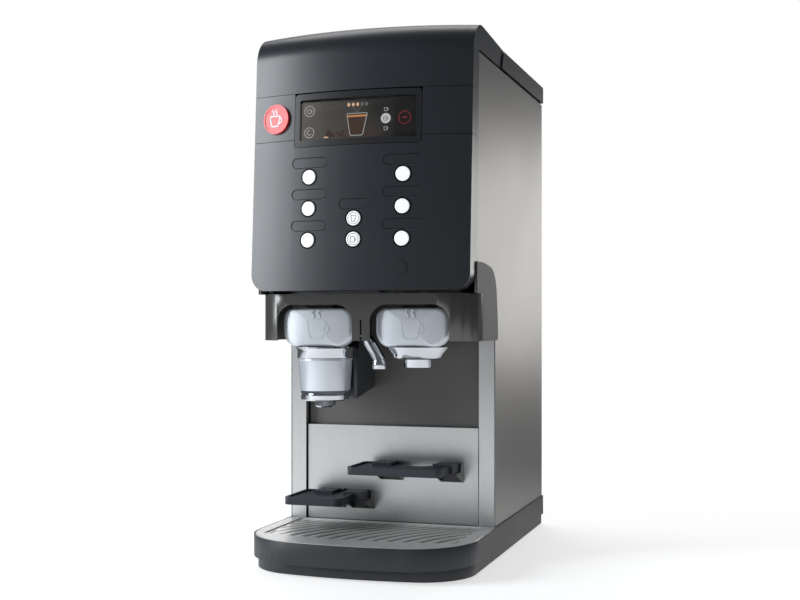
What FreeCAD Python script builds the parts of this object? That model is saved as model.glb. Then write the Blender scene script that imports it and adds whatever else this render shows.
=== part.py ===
"""Counter-top hot coffee vending machine, as a parametric FreeCAD document.

Millimetres. +Z up, -Y is the front, +X is the viewer's right. The origin is at the middle of
the footprint, on the surface that the rubber feet stand on.
"""
import FreeCAD, Part
import math
import os
import re

import Sketcher
from FreeCAD import Vector

DIMENSIONS = {
    # whole machine
    "total_height": 786, "total_depth": 585, "body_width": 335, "cover_overhang": 2.5,
    "seam_gap": 0.7, "fit_gap": 0.3, "sheet": 1.5, "moulding": 3,
    # base, drip tray and feet
    "foot_lift": 2, "plinth_top": 19.6, "base_top": 52, "base_wall": 5, "plinth_inset": 4,
    "plinth_setback": 20, "tray_length": 201.5, "tray_crown": 22.5, "tray_corner": 100,
    "lip_thick": 1.1, "rim_thick": 4, "rim_side": 21.5, "rim_front": 51, "slot_width": 3, "slot_pitch": 9,
    "foot_radius": 14, "foot_spread": 130, "foot_end": 62,
    # cup area
    "cup_depth": 219.3, "column_width": 24.1, "column_depth": 15.2, "splash_height": 149,
    "wall_recess": 13.2, "back_inset": 7.5, "panel_gap_top": 33,
    # shelves: height of the top face, thickness, distances of the front edges from the wall
    "left_shelf_top": 100, "right_shelf_top": 147, "shelf_thick": 11.5,
    "left_shelf_reach": 110, "right_shelf_reach": 98, "shelf_gap": 14, "shelf_border": 4,
    "shelf_dish": 2.5, "pin_radius": 2, "pin_room": 4.05, "arm_width": 30, "arm_length": 40,
    "arm_rise": 2.5, "ear_thick": 3, "ear_gap": 0.4, "ear_reach": 31,
    # nozzle area
    "nozzle_band": 73, "nozzle_setback": 80.5, "nozzle_corner": 55, "nozzle_wall": 2.5,
    "outlet_spacing": 73, "outlet_setback": 127.5, "arch_width": 119, "arch_height": 53,
    "cover_width": 112, "cover_height": 57, "cover_setback": 88.5, "cover_depth": 18,
    "cover_bow": 220, "flare_radius": 51, "cone_radius": 41.7, "cone_low_radius": 37.5,
    "cone_drop": 26.4, "cone_height": 48.3, "ring_radius_right": 20.5,
    # hood
    "hood_height": 377, "hood_setback": 44, "hood_crown": 22.5, "hood_lean": 3.56,
    "hood_roll": 48, "hood_corner": 25, "hood_flank": 54, "rear_strip": 13,
    "low_seam": 156.5, "high_seam": 88, "lid_height": 30, "hinge_back": 89.7,
    "hinge_drop": 40.5, "seam_radius": 54.5, "hinge_pin_radius": 4, "arm_inner": 146,
    # display and keypad, heights measured down from the top of the machine
    "bezel_width": 194, "bezel_height": 78, "display_drop": 128.2, "window_width": 178,
    "window_height": 60, "display_recess": 8, "bezel_depth": 16, "badge_radius": 22,
    "badge_edge": 39.5, "button_column": 71.5, "button_radius": 10.5, "ring_radius": 12.5,
    "button_rise": 1.2, "label_height": 15, "label_depth": 1.2, "label_sink": 0.2,
    "lock_radius": 9.5, "lock_drop": 345, "lock_x": 70, "pull_width": 74, "pull_back": 33,
    # inside
    "cabinet_width": 270, "cabinet_depth": 220, "cabinet_height": 330, "cabinet_wall": 12,
    "pack_width": 116, "pack_height": 245, "boiler_radius": 60, "boiler_height": 250,
    "inlet_radius": 13.2, "motor_radius": 22, "fan_radius": 45,
}

# Places that follow from the sizes above.
DERIVED = {
    "half": "body_width / 2",
    "cover_half": "half + cover_overhang",
    "front_y": "-total_depth / 2",
    "back_y": "total_depth / 2",
    "wall_y": "front_y + cup_depth",
    "seam_y": "front_y + tray_length",
    "rear_wall_y": "wall_y + wall_recess",
    "panel_back_y": "back_y - back_inset",
    "band_z": "total_height - lid_height",
    "panel_top_z": "total_height - panel_gap_top",
    "hood_z": "total_height - hood_height",
    "nozzle_z": "hood_z - nozzle_band",
    "ceiling_z": "hood_z - 9",
    "deck_z": "hood_z - 6",
    "cabinet_z": "deck_z + 2 + fit_gap",
    "tray_radius": "(cover_half ^ 2 + tray_crown ^ 2) / (2 * tray_crown)",
    "tray_top_z": "base_top - rim_thick",
    "hood_front_y": "front_y + hood_setback",
    "hood_radius": "(half ^ 2 + hood_crown ^ 2) / (2 * hood_crown)",
    "hood_rear_y": "hood_front_y + hood_flank",
    "low_seam_z": "total_height - low_seam",
    "high_seam_z": "total_height - high_seam",
    "hinge_y": "wall_y + hinge_back",
    "hinge_z": "total_height - hinge_drop",
    "seam_reach": "sqrt(seam_radius ^ 2 - hinge_drop ^ 2)",
    "hood_length": "hood_height * cos(hood_lean)"
                   " + (hinge_y - seam_reach - hood_front_y) * sin(hood_lean)",
    "nozzle_front_y": "front_y + nozzle_setback",
    "outlet_y": "front_y + outlet_setback",
    "chassis_x": "half - 8.5",
    "column_x": "half - sheet - 0.2",
    "splash_y": "wall_y + 4.2",
    "shelf_pin_y": "splash_y - shelf_thick / 2 - pin_room",
    "display_z": "total_height - display_drop",
    "cover_back": "front_y + cover_setback + cover_depth",
    "cover_low_z": "nozzle_z + 48 - cover_height",
    "cone_z": "nozzle_z - cone_drop - cone_height",
    "floor_top": "base_top + 2 + fit_gap",
}

doc = FreeCAD.newDocument("CoffeeMachine")
sheet = doc.addObject("Spreadsheet::Sheet", "dims")
for row, (alias, number) in enumerate(DIMENSIONS.items(), 1):
    sheet.set(f"A{row}", alias)
    sheet.set(f"B{row}", str(number))
    sheet.setAlias(f"B{row}", alias)
doc.recompute()

NODES = []
AXIS_ROTATION = {
    "X": FreeCAD.Rotation(Vector(0, 1, 0), 90),
    "Y": FreeCAD.Rotation(Vector(1, 0, 0), -90),
    "Z": FreeCAD.Rotation(),
}


def ex(text):
    """An expression with every derived name opened up and every alias tied to the sheet."""
    def replace(match):
        word = match[0]
        if word in DERIVED:
            return f"({ex(DERIVED[word])})"
        return f"dims.{word}" if word in DIMENSIONS else word
    return re.sub(r"[a-z_]+", replace, str(text))


def value(text):
    return float(sheet.evalExpression(ex(text)))


def bind(obj, **properties):
    for name, text in properties.items():
        obj.setExpression(name, ex(text))
    return obj


def put(obj, x="0", y="0", z="0"):
    for axis, text in (("x", x), ("y", y), ("z", z)):
        obj.setExpression(f".Placement.Base.{axis}", ex(text))
    return obj


def box(x, y, z):
    """A block between two bounds on each axis."""
    solid = doc.addObject("Part::Box", "Block")
    bind(solid, Length=f"({x[1]}) - ({x[0]})", Width=f"({y[1]}) - ({y[0]})",
         Height=f"({z[1]}) - ({z[0]})")
    return put(solid, x[0], y[0], z[0])


def rod(axis, radius, start, length):
    """A cylinder along a row axis, from the start point."""
    solid = doc.addObject("Part::Cylinder", "Rod")
    solid.Placement = FreeCAD.Placement(Vector(), AXIS_ROTATION[axis])
    bind(solid, Radius=radius, Height=length)
    return put(solid, *start)


def cone(radius_low, radius_high, start, height):
    solid = doc.addObject("Part::Cone", "Taper")
    bind(solid, Radius1=radius_low, Radius2=radius_high, Height=height)
    return put(solid, *start)


def fuse(*solids):
    joined = doc.addObject("Part::MultiFuse", "Joined")
    joined.Shapes = list(solids)
    return joined


def cut(base, *tools):
    result = doc.addObject("Part::Cut", "Trimmed")
    result.Base = base
    result.Tool = tools[0] if len(tools) == 1 else fuse(*tools)
    return result


def common(*solids):
    result = doc.addObject("Part::MultiCommon", "Overlap")
    result.Shapes = list(solids)
    return result


def node(name, solid):
    solid.Label = name
    NODES.append(solid)
    return solid


def origin_plane(body, role):
    return [plane for plane in body.Origin.OriginFeatures if plane.Role == role][0]


def arc_between(start, end, radius):
    """The short arc of this radius that bulges to the right of the way from start to end."""
    chord = end - start
    right = Vector(chord.y, -chord.x, 0).normalize()
    depth = math.sqrt(radius ** 2 - (chord.Length / 2) ** 2)
    centre = (start + end) / 2 - right * depth
    first = math.atan2(start.y - centre.y, start.x - centre.x)
    last = math.atan2(end.y - centre.y, end.x - centre.x)
    return Part.ArcOfCircle(Part.Circle(centre, Vector(0, 0, 1), radius), first, last)


def outline(body, role, points, arcs=None, offset="0"):
    """A closed, fully constrained sketch, its points given anticlockwise as expressions."""
    arcs = arcs or {}
    sketch = body.newObject("Sketcher::SketchObject", "Outline")
    sketch.AttachmentSupport = [(origin_plane(body, role), "")]
    sketch.MapMode = "FlatFace"
    sketch.setExpression(".AttachmentOffset.Base.z", ex(offset))
    corners = [Vector(value(across), value(up), 0) for across, up in points]
    count = len(points)
    for index, corner in enumerate(corners):
        following = corners[(index + 1) % count]
        if index in arcs:
            sketch.addGeometry(arc_between(corner, following, value(arcs[index])))
        else:
            sketch.addGeometry(Part.LineSegment(corner, following))
    for index in range(count):
        link = Sketcher.Constraint("Coincident", index, 2, (index + 1) % count, 1)
        sketch.addConstraint(link)
    for index, (texts, corner) in enumerate(zip(points, corners)):
        for kind, text, number in zip(("DistanceX", "DistanceY"), texts, corner):
            place = sketch.addConstraint(Sketcher.Constraint(kind, -1, 1, index, 1, number))
            sketch.setExpression(f"Constraints[{place}]", ex(text))
    for index, radius in arcs.items():
        place = sketch.addConstraint(Sketcher.Constraint("Radius", index, value(radius)))
        sketch.setExpression(f"Constraints[{place}]", ex(radius))
    return sketch


def prism(role, points, low, high, arcs=None):
    """An outline padded between two bounds along its plane's row axis.

    The XZ plane faces -Y, so its offset is counted backwards.
    """
    body = doc.addObject("PartDesign::Body", "Prism")
    offset = f"-({high})" if role == "XZ_Plane" else low
    pad = body.newObject("PartDesign::Pad", "Pad")
    pad.Profile = outline(body, role, points, arcs, offset)
    bind(pad, Length=f"({high}) - ({low})")
    body.Tip = pad
    return body


def round_edges(body, radius, chosen):
    """A fillet on the edges of the body's tip that the test picks."""
    doc.recompute()
    base = body.Tip
    names = [f"Edge{number}" for number, edge in enumerate(base.Shape.Edges, 1)
             if chosen(edge)]
    fillet = body.newObject("PartDesign::Fillet", "Round")
    fillet.Base = (base, names)
    bind(fillet, Radius=radius)
    body.Tip = fillet
    return body


def along(axis):
    """A test for straight edges along a row axis."""
    def test(edge):
        ends = [vertex.Point for vertex in edge.Vertexes]
        if len(ends) < 2:
            return False
        way = (ends[1] - ends[0]).normalize()
        return abs(way.dot(axis)) > 0.9999 and edge.Curve.TypeId == "Part::GeomLine"
    return test


ALONG_X, ALONG_Y, ALONG_Z = along(Vector(1, 0, 0)), along(Vector(0, 1, 0)), along(Vector(0, 0, 1))


def plate_xz(width, low, high, y, radius, centre="0"):
    """An upright plate with four rounded corners."""
    left, right = f"({centre}) - ({width}) / 2", f"({centre}) + ({width}) / 2"
    body = prism("XZ_Plane", [(left, low), (right, low), (right, high), (left, high)], *y)
    return round_edges(body, radius, ALONG_Y)


def stadium(centre, height, width, tall, y):
    """A slot-shaped prism along Y: a block with two round ends."""
    reach = f"(({width}) - ({tall})) / 2"
    middle = box((f"({centre}) - {reach}", f"({centre}) + {reach}"), y,
                 (f"({height}) - ({tall}) / 2", f"({height}) + ({tall}) / 2"))
    ends = [rod("Y", f"({tall}) / 2", (f"({centre}) {sign} {reach}", y[0], height),
                f"({y[1]}) - ({y[0]})") for sign in "-+"]
    return fuse(middle, *ends)


def crowned_slab(side, front, back, low, high, corner=None):
    """A slab with the drip tray's bowed front, set in from the tray's sides and front."""
    reach = f"(cover_half - ({side}))"
    radius = f"(tray_radius - ({front}))"
    shoulder = f"front_y + ({front}) + {radius} - sqrt({radius} ^ 2 - {reach} ^ 2)"
    points = [(f"-{reach}", shoulder), (reach, shoulder), (reach, back), (f"-{reach}", back)]
    body = prism("XY_Plane", points, low, high, {0: radius})
    if corner:
        front_limit = value(f"{shoulder} + 1")
        round_edges(body, corner, lambda edge: ALONG_Z(edge)
                    and edge.CenterOfMass.y < front_limit)
    return body


# ---------------------------------------------------------------- base and drip tray

def make_base():
    plinth = box(("-cover_half + plinth_inset", "cover_half - plinth_inset"),
                 ("seam_y", "back_y - plinth_inset"), ("foot_lift", "plinth_top"))
    band = prism("XY_Plane", [("-cover_half", "seam_y"), ("cover_half", "seam_y"),
                              ("cover_half", "back_y"), ("-cover_half", "back_y")],
                 "plinth_top", "base_top")
    round_edges(band, "8", lambda edge: ALONG_Z(edge) and edge.CenterOfMass.y > 0)
    inner = "cover_half - plinth_inset - base_wall"
    tub = box((f"-({inner})", inner), ("seam_y + base_wall", "back_y - plinth_inset - base_wall"),
              ("foot_lift + moulding", "tray_top_z - base_wall"))
    deck_opening = box(("20 - chassis_x", "chassis_x - 20"),
                       ("rear_wall_y + 20", "panel_back_y - 30"), ("plinth_top", "base_top + 1"))
    step = box(("lip_thick - cover_half", "cover_half - lip_thick"),
               ("seam_y - 1", "wall_y - fit_gap"), ("tray_top_z - fit_gap", "base_top + 1"))
    holes = [rod("Z", "5.2", (f"{side} foot_spread", "back_y - foot_end", "0"), "foot_lift + 10")
             for side in ("-", "")]
    node("base_housing", cut(fuse(plinth, band), tub, deck_opening, step, *holes))


def make_drip_tray():
    back = "seam_y - seam_gap"
    carrier = crowned_slab("plinth_inset", "plinth_setback", back, "foot_lift", "plinth_top",
                           "tray_corner - plinth_setback")
    pocket = crowned_slab("plinth_inset + moulding", "plinth_setback + moulding",
                          f"{back} - moulding", "foot_lift + moulding", "plinth_top + 1",
                          "tray_corner - plinth_setback - moulding")
    holes = [rod("Z", "5.2", (f"{side} foot_spread", "front_y + foot_end + 30", "0"),
                 "foot_lift + 10") for side in ("-", "")]
    node("tray_carrier", cut(carrier, pocket, *holes))

    floor_z = "plinth_top + fit_gap + 0.1"
    tray = crowned_slab("0", "0", back, floor_z, "base_top - 0.4", "tray_corner")
    basin = crowned_slab("moulding", "moulding", f"{back} - moulding", f"{floor_z} + moulding",
                         "tray_top_z + 1", "tray_corner - moulding")
    seat = crowned_slab("lip_thick", "lip_thick", f"{back} + 1", "tray_top_z", "base_top + 1",
                        "tray_corner - lip_thick")
    node("drip_tray", cut(tray, basin, seat))

    rim_back = "wall_y - 0.8"
    opening_back = f"{rim_back} - 3.5"
    edge, skin = "(lip_thick + fit_gap)", 1.2
    top = crowned_slab(edge, edge, rim_back, "tray_top_z + fit_gap", "base_top",
                       f"tray_corner - {edge}")
    top_limit = value("base_top") - 0.01
    round_edges(top, "2", lambda line: line.CenterOfMass.z > top_limit
                and line.CenterOfMass.y < value("seam_y"))
    wall = f"({edge} + 1.5)"
    hollow = crowned_slab(wall, wall, f"{rim_back} - 1.5", "tray_top_z - 1",
                          f"base_top - {skin}", f"tray_corner - {wall}")
    collar = crowned_slab("rim_side - 1.5", "rim_front - 1.5", f"{opening_back} + 1.5",
                          "tray_top_z - 1.5", f"base_top - {skin}", "6")
    opening = crowned_slab("rim_side", "rim_front", opening_back, "tray_top_z", "base_top + 1",
                           "4.5")
    drain = crowned_slab("rim_side + 4.5", "rim_front + 4.5", f"{opening_back} - 4.5",
                         "tray_top_z - 3", "base_top", "3")
    ledge_room = box(("-cover_half", "cover_half"), ("seam_y - 4.5", "wall_y"),
                     ("tray_top_z - 3", "tray_top_z"))
    node("tray_rim", cut(fuse(cut(top, hollow), cut(collar, ledge_room)), opening, drain))

    inset = "rim_side + fit_gap"
    grid = crowned_slab(inset, "rim_front + fit_gap", f"{opening_back} - fit_gap",
                        "tray_top_z + 0.2", "base_top - 1.8", "4.2")
    shoulder = "(tray_radius - sqrt(tray_radius ^ 2 - cover_half ^ 2))"
    reach = f"cover_half - {inset} - 14"
    slot = grid.newObject("PartDesign::Pocket", "Slot")
    last = f"({opening_back} - 12)"
    corners = [(f"-({reach})", last), (reach, last), (reach, f"{last} + slot_width"),
               (f"-({reach})", f"{last} + slot_width")]
    slot.Profile = outline(grid, "XY_Plane", corners, offset="base_top")
    slot.Type = "ThroughAll"
    grid.Tip = slot
    doc.recompute()
    pattern = grid.newObject("PartDesign::LinearPattern", "Slots")
    pattern.Originals = [slot]
    pattern.Direction = (origin_plane(grid, "XZ_Plane"), [""])
    first = f"(front_y + rim_front + {shoulder} + 6)"
    pattern.Mode = "Spacing"
    bind(pattern, Offset="slot_pitch", Occurrences=f"floor(({last} - {first}) / slot_pitch) + 1")
    grid.Tip = pattern
    node("drip_grid", grid)


def make_feet():
    feet = []
    for across in ("-foot_spread", "foot_spread"):
        for y in ("front_y + foot_end + 30", "back_y - foot_end"):
            pad = rod("Z", "foot_radius", (across, y, "0"), "foot_lift - 0.2")
            stem = rod("Z", "5", (across, y, "0"), "foot_lift + moulding + 2.5")
            cap = rod("Z", "8", (across, y, "foot_lift + moulding + 0.2"), "2.3")
            feet.append(fuse(pad, stem, cap))
    node("rubber_feet", fuse(*feet))


# ---------------------------------------------------------------- body

def make_chassis():
    """Welded sheet frame: two side plates with folded flanges, a floor and a middle deck."""
    floor_z = "base_top"
    front, back = "rear_wall_y + 2.3", "panel_back_y - sheet - 5"
    nose_y = "wall_y - 92"
    side = [(front, floor_z), (back, floor_z), (back, "total_height - moulding - fit_gap"),
            ("hinge_y + 14", "total_height - moulding - fit_gap"),
            ("hinge_y + 14", "band_z - 8"), (nose_y, "band_z - 16"), (nose_y, "deck_z"),
            (front, "deck_z")]
    pieces = []
    for low, high in (("-chassis_x - 2", "-chassis_x"), ("chassis_x", "chassis_x + 2")):
        pieces.append(prism("YZ_Plane", side, low, high))
        flange = ("-half + sheet + fit_gap", "-chassis_x") if low.startswith("-") else \
            ("chassis_x", "half - sheet - fit_gap")
        pieces.append(box(flange, (front, f"{front} + 2"), (floor_z, "deck_z")))
        pieces.append(box(flange, (f"{back} - 2", back), (floor_z, "panel_top_z")))
        pieces.append(box(flange, (nose_y, f"{nose_y} + 2"), ("deck_z", "band_z - 16")))
    pieces.append(box(("-chassis_x", "chassis_x"), (front, back), (floor_z, f"{floor_z} + 2")))
    pieces.append(box(("-chassis_x", "chassis_x"), ("wall_y - 84", back),
                      ("deck_z", "deck_z + 2")))
    node("chassis_frame", fuse(*pieces))


def rear_line(height, shift="0"):
    """Y of the leaning rear edge of the hood's flanks, at this height."""
    return f"hood_rear_y + (({height}) - hood_z) * tan(hood_lean) + ({shift})"


def make_side_panels():
    low_z, gap = "hood_z - 3", "seam_gap"
    points = [("wall_y", "base_top"), ("panel_back_y", "base_top"),
              ("panel_back_y", "panel_top_z"), (rear_line("panel_top_z", gap), "panel_top_z"),
              (rear_line("hood_z", gap), "hood_z"), (rear_line("hood_z", gap), low_z),
              ("wall_y", low_z)]
    node("side_panel_left", prism("YZ_Plane", points, "-half", "-half + sheet"))
    node("side_panel_right", prism("YZ_Plane", points, "half - sheet", "half"))


def make_back_panel():
    """Rear sheet with a field of vent slots, a water inlet hole and a mains inlet hole."""
    edge = "half - sheet - fit_gap"
    low, high = "base_top + fit_gap", "panel_top_z"
    y = ("panel_back_y - sheet", "panel_back_y")
    body = prism("XZ_Plane", [(f"-({edge})", low), (edge, low), (edge, high),
                              (f"-({edge})", high)], *y)
    bottom = "total_height - 330"
    slot = body.newObject("PartDesign::Pocket", "Vent")
    slot.Profile = outline(body, "XZ_Plane", [("-60", bottom), ("60", bottom),
                                              ("60", f"{bottom} + 4"), ("-60", f"{bottom} + 4")],
                           offset="-panel_back_y")
    slot.Type = "ThroughAll"
    body.Tip = slot
    doc.recompute()
    pattern = body.newObject("PartDesign::LinearPattern", "Vents")
    pattern.Originals = [slot]
    pattern.Direction = (origin_plane(body, "XY_Plane"), [""])
    pattern.Mode = "Spacing"
    pattern.Offset = 12
    pattern.Occurrences = 10
    body.Tip = pattern
    water = rod("Y", "inlet_radius + 9", ("-90", "panel_back_y - 10", "base_top + 60"), "20")
    mains = box(("70.5", "119.5"), ("panel_back_y - 10", "panel_back_y + 10"),
                ("base_top + 44", "base_top + 76"))
    node("back_panel", cut(body, water, mains))


def make_lid():
    """Rear lid; its front end is rounded about the hood's hinge."""
    def shell(inset, low):
        side = f"cover_half - ({inset})"
        radius = f"seam_radius - seam_gap / 2 - ({inset})"
        back = f"panel_back_y + 0.7 - ({inset})"
        top = f"total_height - ({inset})"
        block = prism("YZ_Plane", [("hinge_y - seam_radius", low), (back, low), (back, top),
                                   ("hinge_y - seam_radius", top)], f"-({side})", side)
        if inset == "0":
            height = value("total_height") - 0.01
            round_edges(block, "4", lambda edge: edge.CenterOfMass.z > height
                        and edge.CenterOfMass.y > value("hinge_y - seam_radius") + 1)
        nose = rod("X", radius, (f"-({side}) - 1", "hinge_y", "hinge_z"), f"2 * ({side}) + 2")
        rest = box((f"-({side}) - 1", f"{side} + 1"), ("hinge_y", f"{back} + 1"),
                   (f"{low} - 1", f"{top} + 1"))
        return common(block, fuse(nose, rest))
    node("lid", cut(shell("0", "band_z"), shell("moulding", "band_z - 2")))


def make_cup_area():
    top = "deck_z - fit_gap"
    for name, low, high in (("column_left", "-column_x", "column_width - column_x"),
                            ("column_right", "column_x - column_width", "column_x")):
        y = ("wall_y", "wall_y + column_depth")
        inner = box((f"{low} + sheet", f"{high} - sheet"), ("wall_y + sheet", f"{y[1]} + 1"),
                    ("base_top - 1", f"{top} + 1"))
        node(name, cut(box((low, high), y, ("base_top", top)), inner))

    edge = "column_x - column_width - fit_gap"
    splash_top = "base_top + splash_height"
    face = box((f"-({edge})", edge), ("splash_y", "rear_wall_y - fit_gap"),
               ("base_top", splash_top))
    behind = box((f"1.2 - ({edge})", f"{edge} - 1.2"), ("splash_y + 1.2", "rear_wall_y + 1"),
                 ("base_top - 1", f"{splash_top} - 1.2"))
    node("splash_panel", cut(face, behind))
    node("rear_wall", box((f"-({edge})", edge), ("rear_wall_y", "rear_wall_y + 1.4"),
                          ("base_top", top)))


# ---------------------------------------------------------------- cup shelves

SHELVES = {
    # name: low x, high x, arm centres, notch radius, top face, reach from the wall
    "shelf_left": ("-134", "-45", ("-94.5", "-46.6"), "8", "left_shelf_top",
                   "left_shelf_reach"),
    "shelf_right": ("-38", "108", ("1", "98.3"), "26", "right_shelf_top",
                    "right_shelf_reach"),
}


def shelf_tray(low, high, arms, notch, top, reach):
    """A shelf's dished tray, notched in the middle of its back edge."""
    front, back = f"wall_y - {reach}", "wall_y - shelf_gap"
    tray = prism("XY_Plane", [(low, front), (high, front), (high, back), (low, back)],
                 f"{top} - shelf_thick", top)
    round_edges(tray, "9", ALONG_Z)
    sides = (f"{low} + shelf_border", f"{high} - shelf_border")
    ends = (f"{front} + shelf_border", f"{back} - shelf_border")
    dish = prism("XY_Plane", [(sides[0], ends[0]), (sides[1], ends[0]), (sides[1], ends[1]),
                              (sides[0], ends[1])], f"{top} - shelf_dish", f"{top} + 1")
    round_edges(dish, "5.5", ALONG_Z)
    bite = rod("Z", notch, (f"(({arms[0]}) + ({arms[1]})) / 2", f"{back} + {notch} / 4",
                            f"{top} - shelf_thick - 1"), "shelf_thick + 2")
    return cut(tray, dish, bite)


def shelf_bracket(inner, pin_z):
    """Two gusset ears on a wall plate, with the pin across them."""
    outer = (f"{inner[0]} - ear_thick", f"{inner[1]} + ear_thick")
    wall, below = "splash_y - fit_gap", f"{pin_z} - shelf_thick / 2 - 0.65"
    ear = prism("YZ_Plane", [("shelf_pin_y - ear_reach", f"{below} - 2.6"),
                             (wall, f"{pin_z} - 24"), (wall, f"{pin_z} + 6.5"),
                             ("shelf_pin_y - 2.5", f"{pin_z} + 6.5"),
                             ("shelf_pin_y - 6", f"{pin_z} + 3"), ("shelf_pin_y - 6", below),
                             ("shelf_pin_y - ear_reach", below)], *outer)
    room = box(inner, ("shelf_pin_y - ear_reach - 1", f"{wall} - 2"),
               (f"{pin_z} - 25", f"{pin_z} + 8"))
    head_room = box(inner, (f"{wall} - 3", f"{wall} + 1"), (f"{pin_z} - 1", f"{pin_z} + 8"))
    pin = rod("X", "pin_radius", (outer[0], "shelf_pin_y", pin_z),
              "arm_width + 2 * (ear_thick + ear_gap)")
    return fuse(cut(ear, room, head_room), pin)


def make_shelves():
    """Fold-up cup shelves: a tray on two arm blocks, each on a pin between two ears."""
    brackets = []
    for name, (low, high, arms, notch, top, reach) in SHELVES.items():
        under, pin_z = f"{top} - shelf_thick", f"{top} - shelf_thick / 2"
        solids, bores = [shelf_tray(low, high, arms, notch, top, reach)], []
        for centre in arms:
            side = (f"({centre}) - arm_width / 2", f"({centre}) + arm_width / 2")
            front = "shelf_pin_y - arm_length"
            solids.append(box(side, (front, "shelf_pin_y"), (under, top)))
            solids.append(box(side, (front, "shelf_pin_y - 3"), (under, f"{top} + arm_rise")))
            solids.append(rod("X", "shelf_thick / 2", (side[0], "shelf_pin_y", pin_z),
                              "arm_width"))
            bores.append(rod("X", "pin_radius + 0.08",
                             (f"{side[0]} - 1", "shelf_pin_y", pin_z), "arm_width + 2"))
            brackets.append(shelf_bracket((f"{side[0]} - ear_gap", f"{side[1]} + ear_gap"),
                                          pin_z))
        node(name, cut(fuse(*solids), *bores))
    node("shelf_brackets", fuse(*brackets))


# ---------------------------------------------------------------- nozzle area

def nozzle_block(inset, low, high):
    """The nozzle hood's plan between two heights, set in from its outside."""
    side, front = f"cover_half - ({inset})", f"nozzle_front_y + ({inset})"
    body = prism("XY_Plane", [(f"-({side})", front), (side, front), (side, "wall_y + 7.2"),
                              (f"-({side})", "wall_y + 7.2")], low, high)
    limit = value(front) + 1
    return round_edges(body, f"nozzle_corner - ({inset})",
                       lambda edge: ALONG_Z(edge) and edge.CenterOfMass.y < limit)


def make_nozzle_hood():
    """Wrap-round cover of the nozzles; a wing on each side laps over the side panel."""
    top, shelf_z = "hood_z + 41", "hood_z - 4"
    wing_front, wing_back = rear_line("hood_z", "seam_gap"), "wall_y + 7.2"
    block = nozzle_block("0", "nozzle_z", shelf_z)
    wings = [box(x, (wing_front, wing_back), (shelf_z, top))
             for x in (("-cover_half", "nozzle_wall - cover_half"),
                       ("cover_half - nozzle_wall", "cover_half"))]
    wide = ("-cover_half - 1", "cover_half + 1")
    profile = prism("YZ_Plane", [("nozzle_front_y - 5", "nozzle_z - 1"),
                                 (wing_back, "nozzle_z - 1"), (wing_back, "nozzle_z + 20"),
                                 ("wall_y - 3", "hood_z + 6"), ("wall_y - 46", "hood_z + 37"),
                                 (wing_front, top), ("nozzle_front_y - 5", top)], *wide,
                    arcs={2: "420", 3: "46", 4: "420"})
    rooms = [nozzle_block("nozzle_wall", "nozzle_z - 1", "ceiling_z"),
             nozzle_block("nozzle_wall", "ceiling_z + nozzle_wall", f"{top} + 1"),
             box(("nozzle_wall - cover_half", "cover_half - nozzle_wall"),
                 ("wall_y - 0.8", "wall_y + 8"), ("nozzle_z - 1", f"{top} + 1"))]
    arches = [plate_xz("arch_width", "nozzle_z - 60", "nozzle_z + arch_height",
                       ("nozzle_front_y - 1", "nozzle_front_y + nozzle_wall + 4"), "25",
                       f"{side} outlet_spacing") for side in ("-", "")]
    slit = box(("-1.3", "1.3"), ("nozzle_front_y - 1", "nozzle_front_y + 4"),
               ("nozzle_z - 1", "nozzle_z + 31"))
    body = cut(block, *rooms, slit, *arches)
    tracks = [box((f"{side} outlet_spacing - 20", f"{side} outlet_spacing + 20"),
                  ("outlet_y - 20", "outlet_y + 45"),
                  ("nozzle_z + arch_height - 1 + fit_gap", "ceiling_z + 1"))
              for side in ("-", "")]
    node("nozzle_hood", common(fuse(body, *wings, *tracks), profile))


def cover_blank(side, inset):
    """An outlet cover's outside: a rounded trapezoid with a bowed front."""
    centre = f"{side} outlet_spacing"
    half_top = f"(cover_width / 2 - ({inset}))"
    half_low = f"(cover_width / 2 - 13 - ({inset}))"
    top, low = f"nozzle_z + 48 - ({inset})", f"cover_low_z + ({inset})"
    shoulder = "nozzle_z + 14"
    front = f"front_y + cover_setback + ({inset})"
    back = "cover_back" + (" + 1" if inset != "0" else "")
    points = [(f"{centre} - {half_low}", low), (f"{centre} + {half_low}", low),
              (f"{centre} + {half_top}", shoulder), (f"{centre} + {half_top}", top),
              (f"{centre} - {half_top}", top), (f"{centre} - {half_top}", shoulder)]
    body = prism("XZ_Plane", points, front, back)
    round_edges(body, f"17 - ({inset})", lambda edge: ALONG_Y(edge)
                and (edge.CenterOfMass.z > value(top) - 1 or edge.CenterOfMass.z < value(low) + 1))
    bow = rod("Z", f"cover_bow - ({inset})",
              (centre, "front_y + cover_setback + cover_bow", f"{low} - 5"), "cover_height + 10")
    return common(body, bow)


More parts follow.
